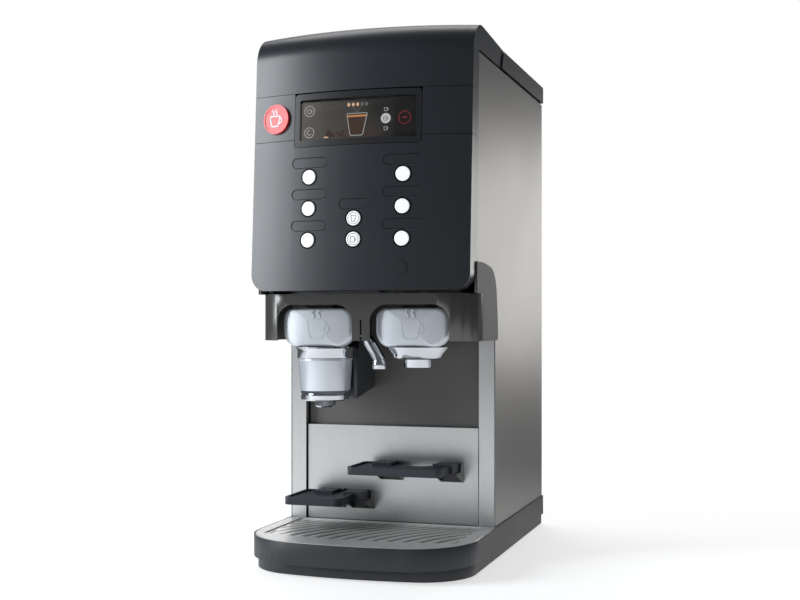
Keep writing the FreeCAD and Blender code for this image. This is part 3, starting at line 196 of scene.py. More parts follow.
class Finish:
    """A procedural material; `add` makes any node and gives back one of its outputs."""

    def __init__(self, name, colour, roughness, metallic=0.0):
        self.material = bpy.data.materials.new(name)
        self.material.use_nodes = True
        self.tree = self.material.node_tree
        self.shader = self.tree.nodes["Principled BSDF"]
        self.colour = colour
        self.roughness = roughness
        self.set({"Base Color": (*colour, 1), "Roughness": roughness, "Metallic": metallic})

    def set(self, sockets):
        for name, setting in sockets.items():
            if isinstance(setting, Value):
                self.tree.links.new(setting.socket, self.shader.inputs[name])
            else:
                self.shader.inputs[name].default_value = setting
        return self

    def add(self, kind, settings, sockets, output=0):
        node = self.tree.nodes.new("ShaderNode" + kind)
        for name, setting in settings.items():
            setattr(node, name, setting)
        for name, setting in sockets.items():
            if isinstance(setting, Value):
                self.tree.links.new(setting.socket, node.inputs[name])
            else:
                node.inputs[name].default_value = setting
        return Value(self.tree, node.outputs[output])

    def place(self, stretch=(1, 1, 1)):
        spot = self.add("TexCoord", {}, {}, "Object")
        return self.add("Mapping", {}, {"Vector": spot, "Scale": stretch})

    def axis(self, name):
        spot = self.add("TexCoord", {}, {}, "Object")
        return self.add("SeparateXYZ", {}, {"Vector": spot}, name)

    def noise(self, scale, detail=2.0, stretch=(1, 1, 1), rough=0.5):
        return self.add("TexNoise", {}, {"Vector": self.place(stretch), "Scale": scale,
                                         "Detail": detail, "Roughness": rough})

    def tint(self, amount, first, second):
        """A colour that runs from the first to the second as the amount goes from 0 to 1."""
        return self.add("Mix", {"data_type": "RGBA"}, {0: amount, 6: (*first, 1),
                                                       7: (*second, 1)}, 2)

    def shade(self, amount, depth):
        """The base colour, darker and lighter by the depth as the amount goes from 0 to 1."""
        dark = [part * (1 - depth) for part in self.colour]
        light = [min(1, part * (1 + depth)) for part in self.colour]
        return self.set({"Base Color": self.tint(amount, dark, light)})

    def rough(self, amount, reach):
        """Roughness about its own value, by the reach either way."""
        return self.set({"Roughness": (amount - 0.5) * (2 * reach) + self.roughness})

    def limit(self, amount):
        """The amount kept between 0 and 1."""
        return self.add("Clamp", {}, {"Value": amount})

    def bump(self, height, distance, strength=0.5):
        normal = self.add("Bump", {}, {"Height": height, "Distance": distance,
                                       "Strength": strength})
        return self.set({"Normal": normal})


# ---------------------------------------------------------------- finishes

def moulded(name, colour, roughness, grain=1900, depth=0.03, coat=0.0, lustre=0.5):
    """Moulded plastic: spark-eroded grain, and faint cloudy patches in its sheen."""
    finish = Finish(name, colour, roughness)
    cloud = finish.noise(9, 3)
    speck = finish.noise(grain, 2)
    finish.shade(cloud, depth).rough(cloud, 0.035)
    finish.bump(speck, 0.00004, 0.35)
    return finish.set({"Coat Weight": coat, "Coat Roughness": 0.25,
                       "Specular IOR Level": lustre}).material


def brushed(name, colour, roughness, stretch, reach=0.07, depth=0.07, strength=0.35,
            metallic=1.0):
    """Brushed stainless sheet: fine streaks along the axis that the stretch leaves long."""
    finish = Finish(name, colour, roughness, metallic)
    streak = finish.noise(1, 3, stretch, 0.65)
    fine = finish.noise(2.7, 2, stretch, 0.6)
    cloud = finish.noise(6, 2)
    finish.shade(streak * 0.6 + cloud * 0.4, depth).rough(fine * 0.7 + cloud * 0.3, reach)
    finish.bump(fine, 0.00003, strength)
    return finish.material


def polished(name, colour, roughness, depth=0.02):
    """Bright plated metal with a trace of fingerprints and polishing haze."""
    finish = Finish(name, colour, roughness, 1.0)
    haze = finish.noise(22, 4)
    ripple = finish.noise(60, 1)
    finish.shade(haze, depth).rough(haze, 0.03)
    return finish.bump(ripple, 0.00004, 0.12).material


def metallic_paint(name, colour, roughness, metallic, flake=2600):
    """Sprayed metallic paint: fine flakes, and the slight ripple that a spray leaves."""
    finish = Finish(name, colour, roughness, metallic)
    flakes = finish.add("TexVoronoi", {}, {"Vector": finish.place(), "Scale": flake}, "Color")
    sparkle = finish.add("SeparateColor", {}, {"Color": flakes}, 0)
    cloud = finish.noise(5, 3)
    finish.shade(sparkle * 0.5 + cloud * 0.5, 0.09).rough(cloud, 0.04)
    return finish.bump(finish.noise(260, 2), 0.00006, 0.18).material


def make_finishes():
    up, across = (900, 900, 7), (7, 900, 900)
    made = {
        "hood": moulded("hood_moulding", (0.0125, 0.015, 0.0205), 0.38, coat=0.12, lustre=0.66),
        "base": moulded("base_moulding", (0.020, 0.0225, 0.028), 0.48, 1500, lustre=0.45),
        "shelf": moulded("shelf_moulding", (0.026, 0.031, 0.041), 0.48, 1300, lustre=0.4),
        "trim": moulded("trim_black", (0.012, 0.013, 0.015), 0.35, coat=0.2),
        "whipper": moulded("whipper_moulding", (0.040, 0.043, 0.050), 0.42, coat=0.1),
        "side": metallic_paint("side_paint", (0.24, 0.232, 0.225), 0.40, 0.55),
        "wall": metallic_paint("rear_wall_paint", (0.118, 0.116, 0.112), 0.46, 0.35),
        "titan": titan_lacquer(),
        "ring": moulded("ring_black", (0.002, 0.002, 0.003), 0.7, lustre=0.05),
        # painted shade: a dark line for the grooves round the label windows
        "groove": moulded("label_groove_shade", (0.004, 0.0045, 0.006), 0.6, lustre=0.2),
        # painted highlight: a light line for the lower right edges of the label windows
        "lip": moulded("window_lip", (0.055, 0.062, 0.078), 0.35, lustre=0.7),
        "silver": metallic_paint("silver_lacquer", (0.60, 0.64, 0.69), 0.34, 0.45, 3200),
        "steel_up": brushed("steel_upright", (0.64, 0.65, 0.655), 0.31, up, 0.1, 0.14, 0.5, 0.9),
        "steel_across": brushed("steel_rim", (0.86, 0.85, 0.84), 0.33, across, metallic=0.45),
        "steel_grid": grooved_steel(),
        "chrome": polished("chrome_plate", (0.60, 0.625, 0.665), 0.09),
        "outlet": outlet_chrome(),
        "zinc": metallic_paint("back_sheet_paint", (0.16, 0.155, 0.15), 0.5, 0.4),
        "galvanised": galvanised(),
        "cone": frosted_cone(),
        "button": button_white(),
        "badge": enamel("badge_red", (0.80, 0.022, 0.030)),
        "badge_mark": enamel("badge_mark", (0.86, 0.86, 0.86)),
        "glass": display_glass(),
        "rubber": moulded("foot_rubber", (0.02, 0.02, 0.02), 0.8, 700, 0.1),
        "foam": moulded("cabinet_liner", (0.70, 0.71, 0.70), 0.55, 500, 0.04),
        "card": card(),
        "boiler": brushed("boiler_jacket", (0.55, 0.55, 0.56), 0.3, up),
        "board": circuit_board(),
        "brass": polished("spigot_brass", (0.62, 0.44, 0.20), 0.24, 0.08),
        "picture": picture_ground(),
        "key_line": moulded("key_line", (0.03, 0.032, 0.04), 0.5, 900),
        "glow_white": glow("glow_white", (0.55, 0.54, 0.52)),
        "glow_dim": glow("glow_dim", (0.17, 0.16, 0.145)),
        "glow_amber": glow("glow_amber", (0.80, 0.50, 0.28)),
        "glow_cream": glow("glow_cream", (0.62, 0.27, 0.09)),
        "glow_brown": glow("glow_brown", (0.045, 0.022, 0.012)),
        "glow_red": glow("glow_red", (0.32, 0.02, 0.02)),
    }
    return made


def groove_run(run):
    """Sideways drift of the grid's grooves, in mm, this many mm behind its front."""
    return run * 0.2 + run * run * (0.4 / 157)


def grooved_steel():
    """Pressed steel with painted shade: its colour runs dark down in the narrow grooves and stays
    bright on the broad crests.
    """
    finish = Finish("steel_grid", (0.86, 0.845, 0.82), 0.33, 0.45)
    low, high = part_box("drip_grid")
    run = (finish.axis("Y") - low.y) / MM
    phase = (finish.axis("X") / MM - groove_run(run)) * (math.tau / GROOVE_PITCH)
    depth = ((phase + math.pi / 2).sine() * 0.5 + 0.5).power(4)
    inside = finish.limit(((high.x - 7 * MM) - finish.axis("X").size()) / (5 * MM))
    behind = finish.limit((high.y - 7 * MM - finish.axis("Y")) / (5 * MM))
    streak = finish.noise(1, 3, (900, 7, 900), 0.65)
    # painted shade: the colour goes dark where the grooves are deep, away from the border
    tone = finish.limit(depth * inside * behind + streak * 0.12 - 0.06)
    finish.set({"Base Color": finish.tint(tone, (0.92, 0.905, 0.88), (0.15, 0.143, 0.136))})
    return finish.rough(streak, 0.06).bump(streak, 0.00003, 0.2).material


def titan_lacquer():
    """Dark metallic lacquer on the nozzle hood, matter on the wings beside the body, whose colour
    is darkened as painted shade.
    """
    finish = Finish("titan_lacquer", (0.112, 0.110, 0.107), 0.29, 0.7)
    wing = finish.axis("X").size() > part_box("nozzle_hood")[1].x - 0.3 * MM
    flakes = finish.add("TexVoronoi", {}, {"Vector": finish.place(), "Scale": 3200}, "Color")
    sparkle = finish.add("SeparateColor", {}, {"Color": flakes}, 0)
    # painted shade: the wings take the dark end of the colour
    tone = sparkle * 0.5 + finish.noise(5, 3) * 0.5 - wing * 1.2
    finish.set({"Base Color": finish.tint(tone, (0.095, 0.094, 0.092), (0.130, 0.128, 0.124)),
                "Roughness": wing * 0.3 + 0.29, "Metallic": 0.7 - wing * 0.6})
    return finish.bump(finish.noise(260, 2), 0.00006, 0.18).material


def outlet_chrome():
    """Bright plating below the outlet's rim; above it, on the rail hidden in the hood, painted
    shade: near-black, rough and not metallic.
    """
    finish = Finish("outlet_plate", (0.60, 0.625, 0.665), 0.07)
    above = finish.axis("Z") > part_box("outlet_cover_left")[0].z + 16 * MM
    haze = finish.noise(22, 4)
    # painted shade: above the rim the plating turns near-black, for the shade inside the hood
    finish.set({"Base Color": finish.tint(above, (0.60, 0.625, 0.665), (0.01, 0.01, 0.012)),
                "Metallic": 1 - above, "Roughness": above * 0.4 + haze * 0.05 + 0.05})
    return finish.bump(finish.noise(60, 1), 0.00004, 0.12).material


def galvanised():
    """Galvanised sheet with its spangle of crystal patches."""
    finish = Finish("frame_zinc", (0.44, 0.45, 0.46), 0.42, 0.9)
    cells = finish.add("TexVoronoi", {}, {"Vector": finish.place(), "Scale": 95}, "Color")
    patch = finish.add("SeparateColor", {}, {"Color": cells}, 0)
    finish.shade(patch, 0.16).rough(patch, 0.1)
    return finish.bump(finish.noise(300, 2), 0.00005, 0.2).material


def frosted_cone():
    """The mixing cone's satin wall, with a faint random haze in its tone."""
    finish = Finish("cone_satin", (0.66, 0.71, 0.78), 0.22, 0.45)
    haze = finish.noise(30, 3)
    finish.shade(haze, 0.03).rough(haze, 0.04)
    finish.bump(finish.noise(900, 2), 0.00002, 0.2)
    return finish.set({"Coat Weight": 0.6, "Coat Roughness": 0.08}).material


def button_white():
    """White key: satin plastic with a painted glow."""
    finish = Finish("button_white", (0.83, 0.85, 0.88), 0.22)
    haze = finish.noise(60, 3)
    finish.shade(haze, 0.015).rough(haze, 0.04)
    finish.bump(finish.noise(1500, 1), 0.00002, 0.15)
    # painted glow: a white emission makes the key shine
    return finish.set({"Coat Weight": 0.4, "Coat Roughness": 0.1,
                       "Emission Color": (0.95, 0.97, 1, 1), "Emission Strength": 0.38}).material


def enamel(name, colour):
    """Glossy enamel with a faint haze."""
    finish = Finish(name, colour, 0.3)
    haze = finish.noise(80, 3)
    finish.shade(haze, 0.06).rough(haze, 0.05)
    finish.bump(finish.noise(500, 2), 0.00003, 0.3)
    return finish.set({"Coat Weight": 0.25, "Coat Roughness": 0.2}).material


def display_glass():
    """Coated cover glass with wiping smears."""
    finish = Finish("display_glass", (0.93, 0.94, 0.95), 0.02)
    smear = finish.noise(24, 4)
    finish.rough(smear, 0.015)
    return finish.set({"Transmission Weight": 1.0, "IOR": 1.2}).material


def card():
    """Coffee concentrate carton: pale board with a coffee-brown band."""
    finish = Finish("carton_print", (0.72, 0.68, 0.60), 0.6)
    height = finish.axis("Z")
    band = (height > CARTON_BAND[0]) * (height < CARTON_BAND[1])
    fibre = finish.noise(240, 3)
    paper = finish.tint(fibre, (0.66, 0.61, 0.53), (0.76, 0.72, 0.64))
    print_ = finish.tint(fibre, (0.13, 0.055, 0.025), (0.17, 0.07, 0.03))
    colour = finish.add("Mix", {"data_type": "RGBA"}, {0: band, 6: paper, 7: print_}, 2)
    finish.set({"Base Color": colour})
    return finish.bump(fibre, 0.0001, 0.3).material


def circuit_board():
    """Green solder mask over a grid of tracks."""
    finish = Finish("board_green", (0.02, 0.13, 0.05), 0.35)
    across = (finish.axis("Y") * 1400).sine()
    upward = (finish.axis("Z") * 1400).sine()
    tracks = (across * upward) > 0.25
    finish.set({"Base Color": finish.tint(tracks, (0.015, 0.10, 0.035), (0.05, 0.22, 0.09))})
    return finish.bump(tracks, 0.0001, 0.3).material


def picture_ground():
    """The lit screen: a grey strip, a dim brown scene and a black strip, left to right."""
    finish = Finish("screen_picture", (0.01, 0.01, 0.01), 0.3)
    across = finish.axis("X") / MM
    height = (finish.axis("Z") - PICTURE_MIDDLE) / MM
    strip = across < PICTURE_STRIP
    dark = across > PICTURE_DARK
    vignette = (across * -0.009 + 0.30 + height * -0.004) + finish.noise(35, 3) * 0.12
    scene_tone = finish.tint(vignette, (0.011, 0.010, 0.009), (0.075, 0.067, 0.056))
    grey = finish.tint(across * -0.02 - 1.0, (0.060, 0.055, 0.050), (0.13, 0.122, 0.112))
    lit = finish.add("Mix", {"data_type": "RGBA"}, {0: strip, 6: scene_tone, 7: grey}, 2)
    black = finish.add("Mix", {"data_type": "RGBA"}, {0: dark, 6: lit,
                                                      7: (0.0006, 0.0006, 0.0007, 1)}, 2)
    return finish.set({"Emission Color": black, "Emission Strength": 1.0}).material


def glow(name, colour, strength=1.0):
    """A lit shape on the screen, with the faint mottle of a printed picture."""
    finish = Finish(name, (0.01, 0.01, 0.01), 0.4)
    mottle = finish.noise(420, 2)
    dim = [part * 0.82 for part in colour]
    finish.set({"Emission Color": finish.tint(mottle, dim, colour), "Emission Strength": strength})
    return finish.material


# ---------------------------------------------------------------- mesh helpers

def piece(name, shape, finish, body, replaces=(), smooth=35):
    """A finished object from a bmesh: normals out, smooth below the angle, riding on a body."""
    bmesh.ops.remove_doubles(shape, verts=shape.verts, dist=MERGE)
    bmesh.ops.recalc_face_normals(shape, faces=shape.faces)
    mesh = bpy.data.meshes.new(name)
    shape.to_mesh(mesh)
    shape.free()
    mesh.shade_smooth()
    mesh.set_sharp_from_angle(angle=math.radians(smooth))
    mesh.materials.append(finish)
    made = bpy.data.objects.new(name, mesh)
    scene.collection.objects.link(made)
    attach(made, body)
    if replaces:
        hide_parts(*replaces)
    return made


def add_bevel(item, width):
    """Soften the sharp edges of a CAD node by this width."""
    bevel = item.modifiers.new("soft_edges", "BEVEL")
    bevel.width = width
    bevel.segments = 2
    bevel.limit_method = "ANGLE"
    bevel.angle_limit = math.radians(38)
    bevel.harden_normals = True


def block(shape, low, high):
    """A box between two corners; gives back its vertices."""
    low, high = Vector(low), Vector(high)
    verts = bmesh.ops.create_cube(shape, size=1)["verts"]
    bmesh.ops.scale(shape, vec=high - low, verts=verts)
    bmesh.ops.translate(shape, vec=(low + high) / 2, verts=verts)
    return verts


def round_box(shape, low, high, radius, segments):
    """A box between two corners with its edges rounded."""
    verts = block(shape, low, high)
    edges = {edge for vert in verts for edge in vert.link_edges}
    bmesh.ops.bevel(shape, geom=list(edges), offset=radius, offset_type="OFFSET",
                    affect="EDGES", segments=segments, profile=0.5, material=-1)


def flat_face(shape, points):
    """A face in the local XY plane from its corner points."""
    return shape.faces.new([shape.verts.new((*point, 0)) for point in points])


def arc_points(centre, radius, first, last, count):
    """Points on an arc between two angles in degrees."""
    spots = []
    for step in range(count + 1):
        turn = math.radians(first + (last - first) * step / count)
        spots.append((centre[0] + radius * math.cos(turn), centre[1] + radius * math.sin(turn)))
    return spots


def slab(shape, points, low, high):
    """A plate from an outline in the local XY plane, between two local heights."""
    face = flat_face(shape, points)
    grown = bmesh.ops.extrude_face_region(shape, geom=[face])["geom"]
    top = [item for item in grown if isinstance(item, bmesh.types.BMVert)]
    bmesh.ops.translate(shape, vec=(0, 0, low), verts=face.verts[:])
    bmesh.ops.translate(shape, vec=(0, 0, high), verts=top)


def lathe(profile, centre):
    """A turned shape about an upright axis; profile points are (radius, height)."""
    shape = bmesh.new()
    verts = [shape.verts.new((radius, 0, height)) for radius, height in profile]
    edges = [shape.edges.new(pair) for pair in zip(verts, verts[1:])]
    bmesh.ops.spin(shape, geom=verts + edges, cent=(0, 0, 0), axis=(0, 0, 1),
                   angle=math.tau, steps=96, use_merge=True)
    bmesh.ops.remove_doubles(shape, verts=shape.verts, dist=MERGE)
    bmesh.ops.translate(shape, vec=centre, verts=shape.verts)
    return shape


def face_frame(x, height):
    """The frame on the hood's face at this place: local +Z outwards, +X to the right."""
    yaw = math.asin(x / HOOD_RADIUS)
    bow = HOOD_RADIUS * (1 - math.cos(yaw)) / math.cos(HOOD_LEAN)
    spot = Vector((x, FRONT + bow + (height - HOOD_LOW) * math.tan(HOOD_LEAN), height))
    turn = Matrix.Rotation(yaw, 4, "Z") @ Matrix.Rotation(math.pi / 2 - HOOD_LEAN, 4, "X")
    return Matrix.Translation(spot) @ turn


def on_face(shape, x, height):
    """Stand flat work on the hood's face, on the plane that touches it here."""
    bmesh.ops.transform(shape, matrix=face_frame(x, height), verts=shape.verts)


def stroke(shape, points, width, low, high, closed=False):
    """A flat line of this width along the points, in the local XY plane."""
    spots = [Vector(point) for point in points]
    count = len(spots)
    sides = []
    for index, spot in enumerate(spots):
        before = spots[index - 1] if closed or index else spot
        after = spots[(index + 1) % count] if closed or index < count - 1 else spot
        along = (after - before).normalized()
        offset = Vector((-along.y, along.x)) * width / 2
        sides.append((shape.verts.new((*(spot + offset), low)),
                      shape.verts.new((*(spot - offset), low))))
    last = count if closed else count - 1
    faces = [shape.faces.new((sides[index][0], sides[index][1], sides[(index + 1) % count][1],
                              sides[(index + 1) % count][0])) for index in range(last)]
    grown = bmesh.ops.extrude_face_region(shape, geom=faces)["geom"]
    top = [item for item in grown if isinstance(item, bmesh.types.BMVert)]
    bmesh.ops.translate(shape, vec=(0, 0, high - low), verts=top)


def rounded(points, radii, count=10):
    """The points of a polygon with its corners rounded to these radii."""
    path = []
    total = len(points)
    for index, (point, radius) in enumerate(zip(points, radii)):
        here = Vector(point)
        back = (Vector(points[index - 1]) - here).normalized()
        ahead = (Vector(points[(index + 1) % total]) - here).normalized()
        half_angle = back.angle(ahead) / 2
        start = here + back * radius / math.tan(half_angle)
        end = here + ahead * radius / math.tan(half_angle)
        centre = here + (back + ahead).normalized() * radius / math.sin(half_angle)
        first, final = start - centre, end - centre
        sweep = first.angle_signed(final)
        for step in range(count + 1):
            turn = Matrix.Rotation(-sweep * step / count, 2)
            path.append(tuple(centre + turn @ first))
    return path


def scaled(points, size, shift=(0, 0)):
    """The points enlarged by the size, then moved by the shift."""
    return [(x * size + shift[0], y * size + shift[1]) for x, y in points]


def cup_marks(shape, size, width, low, high, shift=(0, 0), steam=True):
    """A plain line drawing of a cup with a handle, one unit of size tall."""
    body = rounded([(-0.42, 0.30), (0.42, 0.30), (0.30, -0.45), (-0.30, -0.45)],
                   [0.05, 0.05, 0.14, 0.14], 6)
    stroke(shape, scaled(body, size, shift), width, low, high, closed=True)
    handle = arc_points((0.38, -0.04), 0.2, 80, -95, 12)
    stroke(shape, scaled(handle, size, shift), width, low, high)
    if steam:
        for x in (-0.15, 0.12):
            wisp = [(x + 0.06 * math.sin(step * 0.9), 0.42 + step * 0.05) for step in range(8)]
            stroke(shape, scaled(wisp, size, shift), width, low, high)


# ---------------------------------------------------------------- CAD nodes and their finishes

NODE_FINISHES = {
    # finish: (nodes, width of the softened edge in mm, or 0 for edges left as they are)
    "hood": (("fascia", "hood_shell", "hood_band_left", "hood_band_right", "lid",
              "label_plates", "lock_barrel"), 0),
    "base": (("base_housing", "tray_carrier", "drip_tray"), 0.5),
    "shelf": (("shelf_left", "shelf_right"), 0.7),
    "trim": (("display_bezel", "hood_pull", "shelf_brackets"), 0),
    "whipper": (("whipper_housing",), 0.5),
    "ring": (("button_rings",), 0),
    "side": (("side_panel_left", "side_panel_right"), 0.3),
    "wall": (("rear_wall",), 0.2),
    "titan": (("nozzle_hood",), 0.25),
    "steel_up": (("column_left", "column_right", "splash_panel"), 0.4),
    "steel_across": (("tray_rim",), 0.3),
    "outlet": (("outlet_body_left", "outlet_body_right"), 0.6),
    "chrome": (("hot_water_spout",), 0.6),
    "zinc": (("back_panel",), 0.2),
    "galvanised": (("chassis_frame", "hood_frame", "hinge_arms", "hinge_pins",
                    "cooling_module"), 0.2),
    "button": (("button_left_top", "button_left_middle", "button_left_bottom",
                "button_right_top", "button_right_middle", "button_right_bottom",
                "button_cup", "button_jug"), 0),
    "badge": (("badge",), 0.4),
    "glass": (("display_glass",), 0.3),
    "rubber": (("rubber_feet",), 0.4),
    "foam": (("cool_cabinet", "fan_rotor"), 0.6),
    "card": (("product_pack_left", "product_pack_right"), 0.6),
    "boiler": (("boiler", "whipper_motors"), 0.4),
    "board": (("keypad_board", "control_board"), 0.1),
    "brass": (("inlet_valve",), 0.4),
}


def finish_nodes(finishes):
    """Give each CAD node its finish, and soft edges where its mesh takes them."""
    for finish, (names, edge) in NODE_FINISHES.items():
        for name in names:
            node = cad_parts[name]
            for place in node.material_slots:
                place.material = finishes[finish]
            if edge:
                weld = node.modifiers.new("joined", "WELD")
                weld.merge_threshold = MERGE
                add_bevel(node, edge * MM)
    for name in ("screen_module", "mains_inlet"):
        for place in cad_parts[name].material_slots:
            place.material = finishes["trim"]


# ---------------------------------------------------------------- outlets

def cover_front(across):
    """How far the cover's bowed front stands back at this distance from its middle."""
    return COVER_BOW - math.sqrt(COVER_BOW ** 2 - across ** 2)


def make_cover(word, finishes):
    """A crowned cover with soft edges, closed at the back, and a raised cup mark."""
    low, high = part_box(f"outlet_cover_{word}")
    centre_x, front = (low.x + high.x) / 2, low.y
    half, tall = (high.x - low.x) / 2, high.z - low.z
    narrow, shoulder = 8 * MM, 20 * MM
    outline = rounded([(narrow - half, 0), (half - narrow, 0), (half, shoulder), (half, tall),
                       (-half, tall), (-half, shoulder)],
                      [21.5 * MM, 21.5 * MM, 33 * MM, 16 * MM, 16 * MM, 33 * MM], 14)
    middle = Vector((0, tall / 2))
    shape = bmesh.new()

    def ring(size, back):
        verts = []
        for point in outline:
            spot = middle + (Vector(point) - middle) * size
            y = front + cover_front(spot.x) + back
            verts.append(shape.verts.new((centre_x + spot.x, min(y, high.y), low.z + spot.y)))
        return verts

    rings = [[shape.verts.new((centre_x + point[0], high.y, low.z + point[1]))
              for point in outline]]
    edge_depth, edge_start = 5.5 * MM, 0.86
    for step in range(13):
        turn = math.pi / 2 * step / 12
        size = edge_start + (1 - edge_start) * math.cos(turn)
        rings.append(ring(size, edge_depth * (1 - math.sin(turn))))
    for size in (0.76, 0.64, 0.5, 0.36, 0.22, 0.1):
        rings.append(ring(size, 0))
    for outer, inner in zip(rings, rings[1:]):
        for index in range(len(outline)):
            after = (index + 1) % len(outline)
            shape.faces.new((outer[index], outer[after], inner[after], inner[index]))
    shape.faces.new(rings[0])
    shape.faces.new(rings[-1])
    piece(f"cover_{word}", shape, finishes["silver"], f"outlet_{word}",
          [f"outlet_cover_{word}"], 50)

    mark = bmesh.new()
    cup_marks(mark, 34 * MM, 2.1 * MM, -0.6 * MM, 0.55 * MM)
    for vert in mark.verts:
        across, up, rise = vert.co
        vert.co = (centre_x + across, front + cover_front(across) - rise + 0.02 * MM,
                   low.z + tall * 0.49 + up)
    for vert in mark.verts:
        vert.co.y = max(vert.co.y, front)
    piece(f"cover_mark_{word}", mark, finishes["silver"], f"outlet_{word}")


def make_mixing_cup(finishes):
    """Satin tapered wall between a bright collar and a bright foot with a drip tip."""
    low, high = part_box("mixing_cone")
    centre = Vector(((low.x + high.x) / 2, (low.y + high.y) / 2, 0))
    top, radius = high.z, (high.x - low.x) / 2
    foot = top - 48.3 * MM
    small = radius - 4.2 * MM
    wall = [(radius - 2.4 * MM, top), (radius - 0.4 * MM, top), (radius, top - 0.5 * MM),
            (radius, top - 3 * MM), (radius - 1.1 * MM, top - 3.8 * MM),
            (small + 0.4 * MM, foot + 3 * MM), (small, foot + 0.4 * MM),
            (small - 0.4 * MM, foot), (small - 3 * MM, foot), (radius - 2.4 * MM, top)]
    piece("cone_wall", lathe(wall, centre), finishes["cone"], "outlet_left",
          ["mixing_cone"])
    ring_low = foot - 15 * MM
    ring = [(small - 3 * MM, foot), (small - 1.2 * MM, foot), (small - 0.5 * MM, foot - 0.7 * MM),
            (small - 0.5 * MM, foot - 4.2 * MM), (small - 1.7 * MM, foot - 5.2 * MM),
            (small - 1.7 * MM, foot - 6.6 * MM), (small - 0.6 * MM, foot - 7.4 * MM),
            (small - 1.1 * MM, ring_low + 1.6 * MM), (small - 2.6 * MM, ring_low),
            (14 * MM, ring_low - 1.2 * MM), (12 * MM, ring_low - 1.2 * MM), (12 * MM, foot),
            (small - 3 * MM, foot)]
    piece("cone_foot", lathe(ring, centre), finishes["chrome"], "outlet_left")
    tip_low = low.z
    tip = [(15.4 * MM, ring_low - 0.2 * MM), (15.4 * MM, tip_low + 2.2 * MM),
           (14.2 * MM, tip_low + 0.8 * MM), (13.4 * MM, tip_low), (12.2 * MM, tip_low),
           (12 * MM, tip_low + 0.5 * MM), (12 * MM, ring_low - 0.2 * MM),
           (15.4 * MM, ring_low - 0.2 * MM)]
    piece("cone_tip", lathe(tip, centre), finishes["chrome"], "outlet_left")


def make_outlet_skirts(finishes):
    """Bright flared skirts: one above the mixing cup, one round the right outlet's ring."""
    low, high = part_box("mixing_cone")
    centre = Vector(((low.x + high.x) / 2, (low.y + high.y) / 2, 0))
    cup_radius, start = (high.x - low.x) / 2, high.z
    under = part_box("outlet_cover_left")[0].z - 0.3 * MM
    skirt = [(37.2 * MM, start + 0.4 * MM), (cup_radius + 0.2 * MM, start + 0.4 * MM),
             (cup_radius + 0.6 * MM, start + 1 * MM), (cup_radius + 0.5 * MM, start + 11 * MM),
             (cup_radius + 1.6 * MM, under - 2.4 * MM), (46 * MM, under - 0.6 * MM),
             (46 * MM, under), (37.2 * MM, under), (37.2 * MM, start + 0.4 * MM)]
    piece("skirt_left", lathe(skirt, centre), finishes["chrome"], "outlet_left")

    ring_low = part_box("outlet_body_right")[0].z
    centre = Vector((-centre.x, centre.y, 0))
    funnel = [(20.6 * MM, ring_low + 11 * MM), (28 * MM, ring_low + 11.4 * MM),
              (34.5 * MM, ring_low + 12.4 * MM), (37 * MM, ring_low + 14.5 * MM),
              (40 * MM, ring_low + 21 * MM), (45.2 * MM, under - 2 * MM), (46 * MM, under),
              (20.6 * MM, under), (20.6 * MM, ring_low + 11 * MM)]
    piece("skirt_right", lathe(funnel, centre), finishes["chrome"], "outlet_right")


def make_corner_strips(finishes):
    """Dark strips in the corners between the columns and the splash panel and rear wall."""
    splash_low, splash_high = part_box("splash_panel")
    wall_low, wall_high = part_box("rear_wall")
    for word, side in (("left", -1), ("right", 1)):
        edge = splash_high.x
        shape = bmesh.new()
        for front, bottom, top in ((splash_low.y, splash_low.z, splash_high.z),
                                   (wall_low.y, splash_high.z, wall_high.z)):
            ends = sorted((side * (edge - 1.7 * MM), side * edge))
            round_box(shape, (ends[0], front - 0.7 * MM, bottom + 0.1 * MM),
                      (ends[1], front + 0.2 * MM, top), 0.25 * MM, 2)
        piece(f"dark_corner_strip_{word}", shape, finishes["ring"], "machine")


# ---------------------------------------------------------------- drip grid

